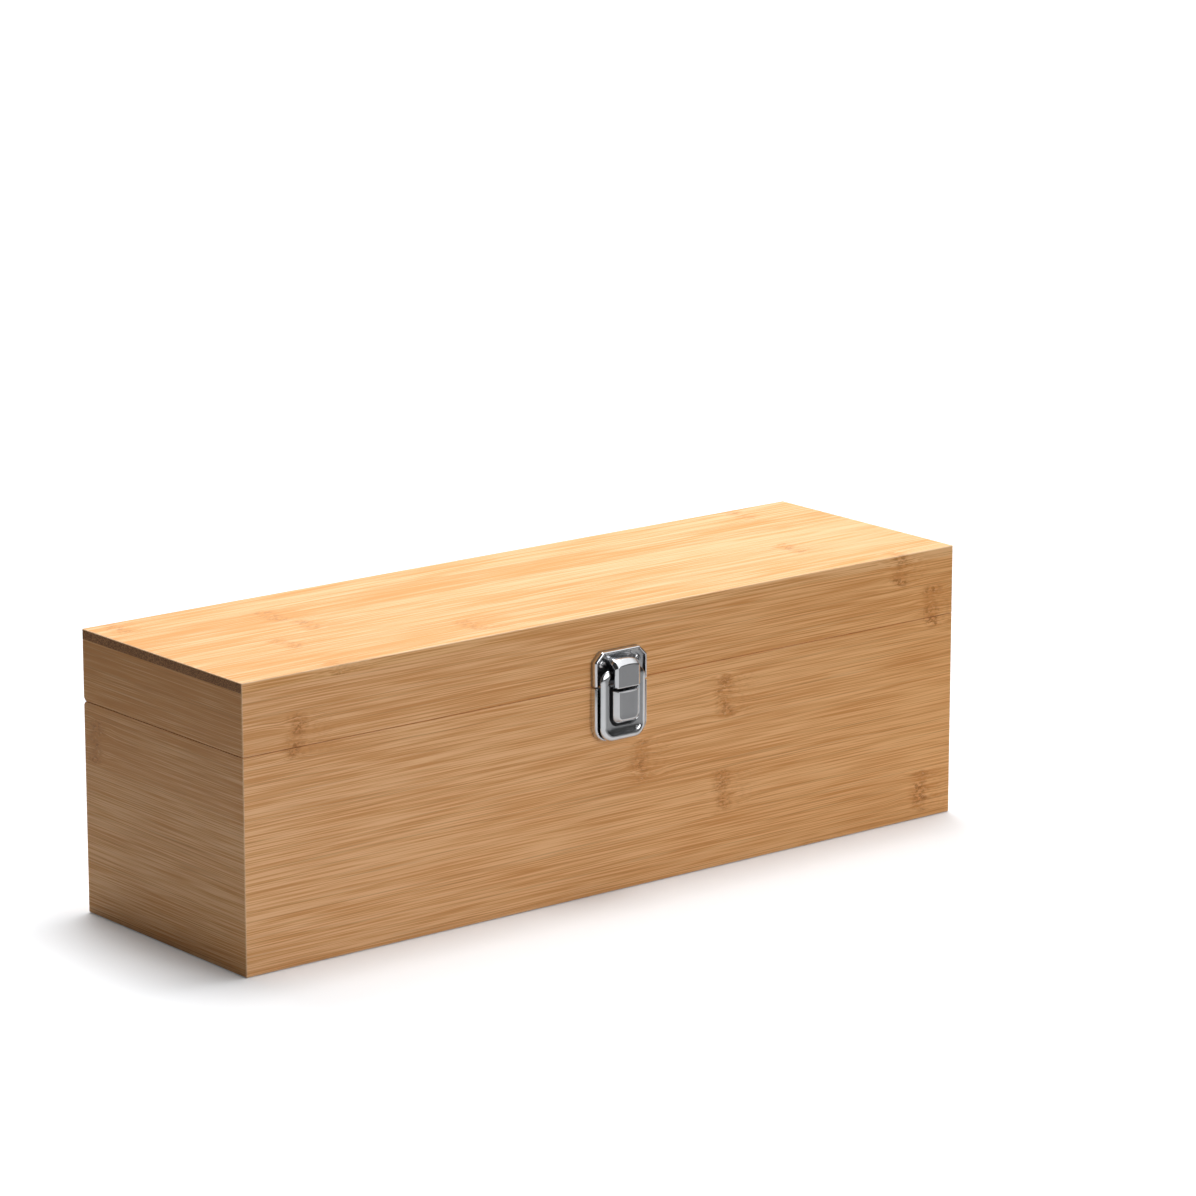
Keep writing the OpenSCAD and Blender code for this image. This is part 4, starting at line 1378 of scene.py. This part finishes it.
def area_light(name, place, size, power):
    """A soft light that faces the box."""
    data = bpy.data.lights.new(name, "AREA")
    data.shape = "RECTANGLE"
    data.size, data.size_y = size
    data.energy = power
    lamp = bpy.data.objects.new(name, data)
    bpy.context.scene.collection.objects.link(lamp)
    lamp.location = place
    lamp.rotation_euler = (Vector((0, 0, 0.05)) - Vector(place)).to_track_quat("-Z", "Y").to_euler()


def stage_floor():
    """A wide pale floor that fades out of sight.

    The camera sees it nearly white. The wood is lit by a dimmer one. The metal reflects one with a dark zone
    in front and a light one at the left."""
    work = bmesh.new()
    lathe(work, [(0, 0), (0.6, 0), (1.5, 0), (4.0, 0), (9.0, 0), (14.0, 0)],
          lambda a, b, h: Vector((a, b, h - 0.0002)), 72)
    mesh = bpy.data.meshes.new("stage_floor")
    for face in work.faces:
        if face.normal.z < 0:
            face.normal_flip()
    work.to_mesh(mesh)
    work.free()
    floor = bpy.data.objects.new("stage_floor", mesh)
    bpy.context.scene.collection.objects.link(floor)
    paint, n, shader = new_material("stage_white")
    place = n.place()
    far = n.add("ShaderNodeVectorMath", {0: place}, operation="LENGTH").outputs["Value"]
    grain = n.noise(place, 900.0, 2.0, 0.5)
    white = n.blend(grain, (0.87, 0.885, 0.905), (0.88, 0.895, 0.915))
    path = n.add("ShaderNodeLightPath").outputs
    seen, glossy = path["Is Camera Ray"], path["Is Glossy Ray"]
    lighting = n.blend(n.span(far, 0.36, 0.62), grey(0.50), grey(0.10))
    x, y = n.apart(place)[:2]
    in_front = n.times(n.span(x, 0.02, 0.15), n.span(y, -0.24, -0.16, 1.0, 0.0))
    left_behind = n.times(n.span(x, -0.28, -0.18, 1.0, 0.0), n.span(y, -0.06, 0.04))
    near_tone = n.blend(n.span(far, 0.40, 0.50), grey(1.0), grey(0.20))
    mirrored = n.blend(in_front, n.blend(left_behind, grey(0.62), near_tone), grey(0.22))
    n.feed(shader.inputs["Base Color"], n.blend(seen, n.blend(glossy, lighting, mirrored), white))
    glow = n.blend(n.span(far, 0.7, 1.6), grey(0.10), grey(1.0))
    n.feed(shader.inputs["Emission Color"], n.blend(seen, grey(0.0), glow))
    shader.inputs["Emission Strength"].default_value = 1.0
    shader.inputs["Roughness"].default_value = 0.9
    shader.inputs["Specular IOR Level"].default_value = 0.1
    mesh.materials.append(paint)


class Stage(bpy.types.Operator):
    """Set the floor, the soft lights, the surroundings and the camera"""

    bl_idname = "bamboo_box.stage"
    bl_label = "Stage, lights and camera"

    def execute(self, context):
        stage_floor()
        studio_world()
        area_light("overhead_light", (0.4, 0.1, 2.4), (1.0, 1.0), 47)
        area_light("back_light", (0.3, 1.2, 2.2), (1.2, 1.0), 25)
        area_light("front_light", (0.4, -2.6, 1.0), (1.6, 1.2), 24)
        data = bpy.data.cameras.new("photo_camera")
        data.sensor_width = 36.0
        data.lens = CAMERA_LENS
        data.clip_start, data.clip_end = 0.05, 60.0
        camera = bpy.data.objects.new("photo_camera", data)
        context.scene.collection.objects.link(camera)
        camera.location = CAMERA_PLACE
        camera.rotation_euler = (math.pi / 2 - CAMERA_DROP, 0.0, CAMERA_TURN)
        context.scene.camera = camera
        context.scene.view_settings.view_transform = "Standard"
        return {"FINISHED"}


# ---------------------------------------------------------------- add-on

STEPS = (BaseBoards, LidBoards, HingeLeaves, HingeScrews, LatchKeeper, LatchBasePlate, LatchLever,
         LatchScrews, LatchPivot, FoamBlocks, FeltFloor, Stage)


class BoxPanel(bpy.types.Panel):
    """Lists the box's sizes, colours and pieces"""

    bl_idname = "VIEW3D_PT_bamboo_box"
    bl_label = "Bamboo Box"
    bl_space_type = "VIEW_3D"
    bl_region_type = "UI"
    bl_category = "Bamboo Box"

    def draw(self, context):
        layout = self.layout
        for heading, settings in (("Sizes", sizes()), ("Colours", colours())):
            box = layout.box()
            box.label(text=heading)
            for name in settings.bl_rna.properties.keys():
                if name not in ("rna_type", "name"):
                    box.prop(settings, name)
        column = layout.column(align=True)
        for step in STEPS:
            column.operator(step.bl_idname)


CLASSES = (BoxSizes, BoxColours, *STEPS, BoxPanel)


def register():
    for cls in CLASSES:
        bpy.utils.register_class(cls)
    bpy.types.Scene.box_sizes = bpy.props.PointerProperty(type=BoxSizes)
    bpy.types.Scene.box_colours = bpy.props.PointerProperty(type=BoxColours)


def unregister():
    del bpy.types.Scene.box_colours
    del bpy.types.Scene.box_sizes
    for cls in reversed(CLASSES):
        bpy.utils.unregister_class(cls)


def main():
    register()
    for step in STEPS:
        area, name = step.bl_idname.split(".")
        getattr(getattr(bpy.ops, area), name)()


if __name__ == "__main__":
    main()
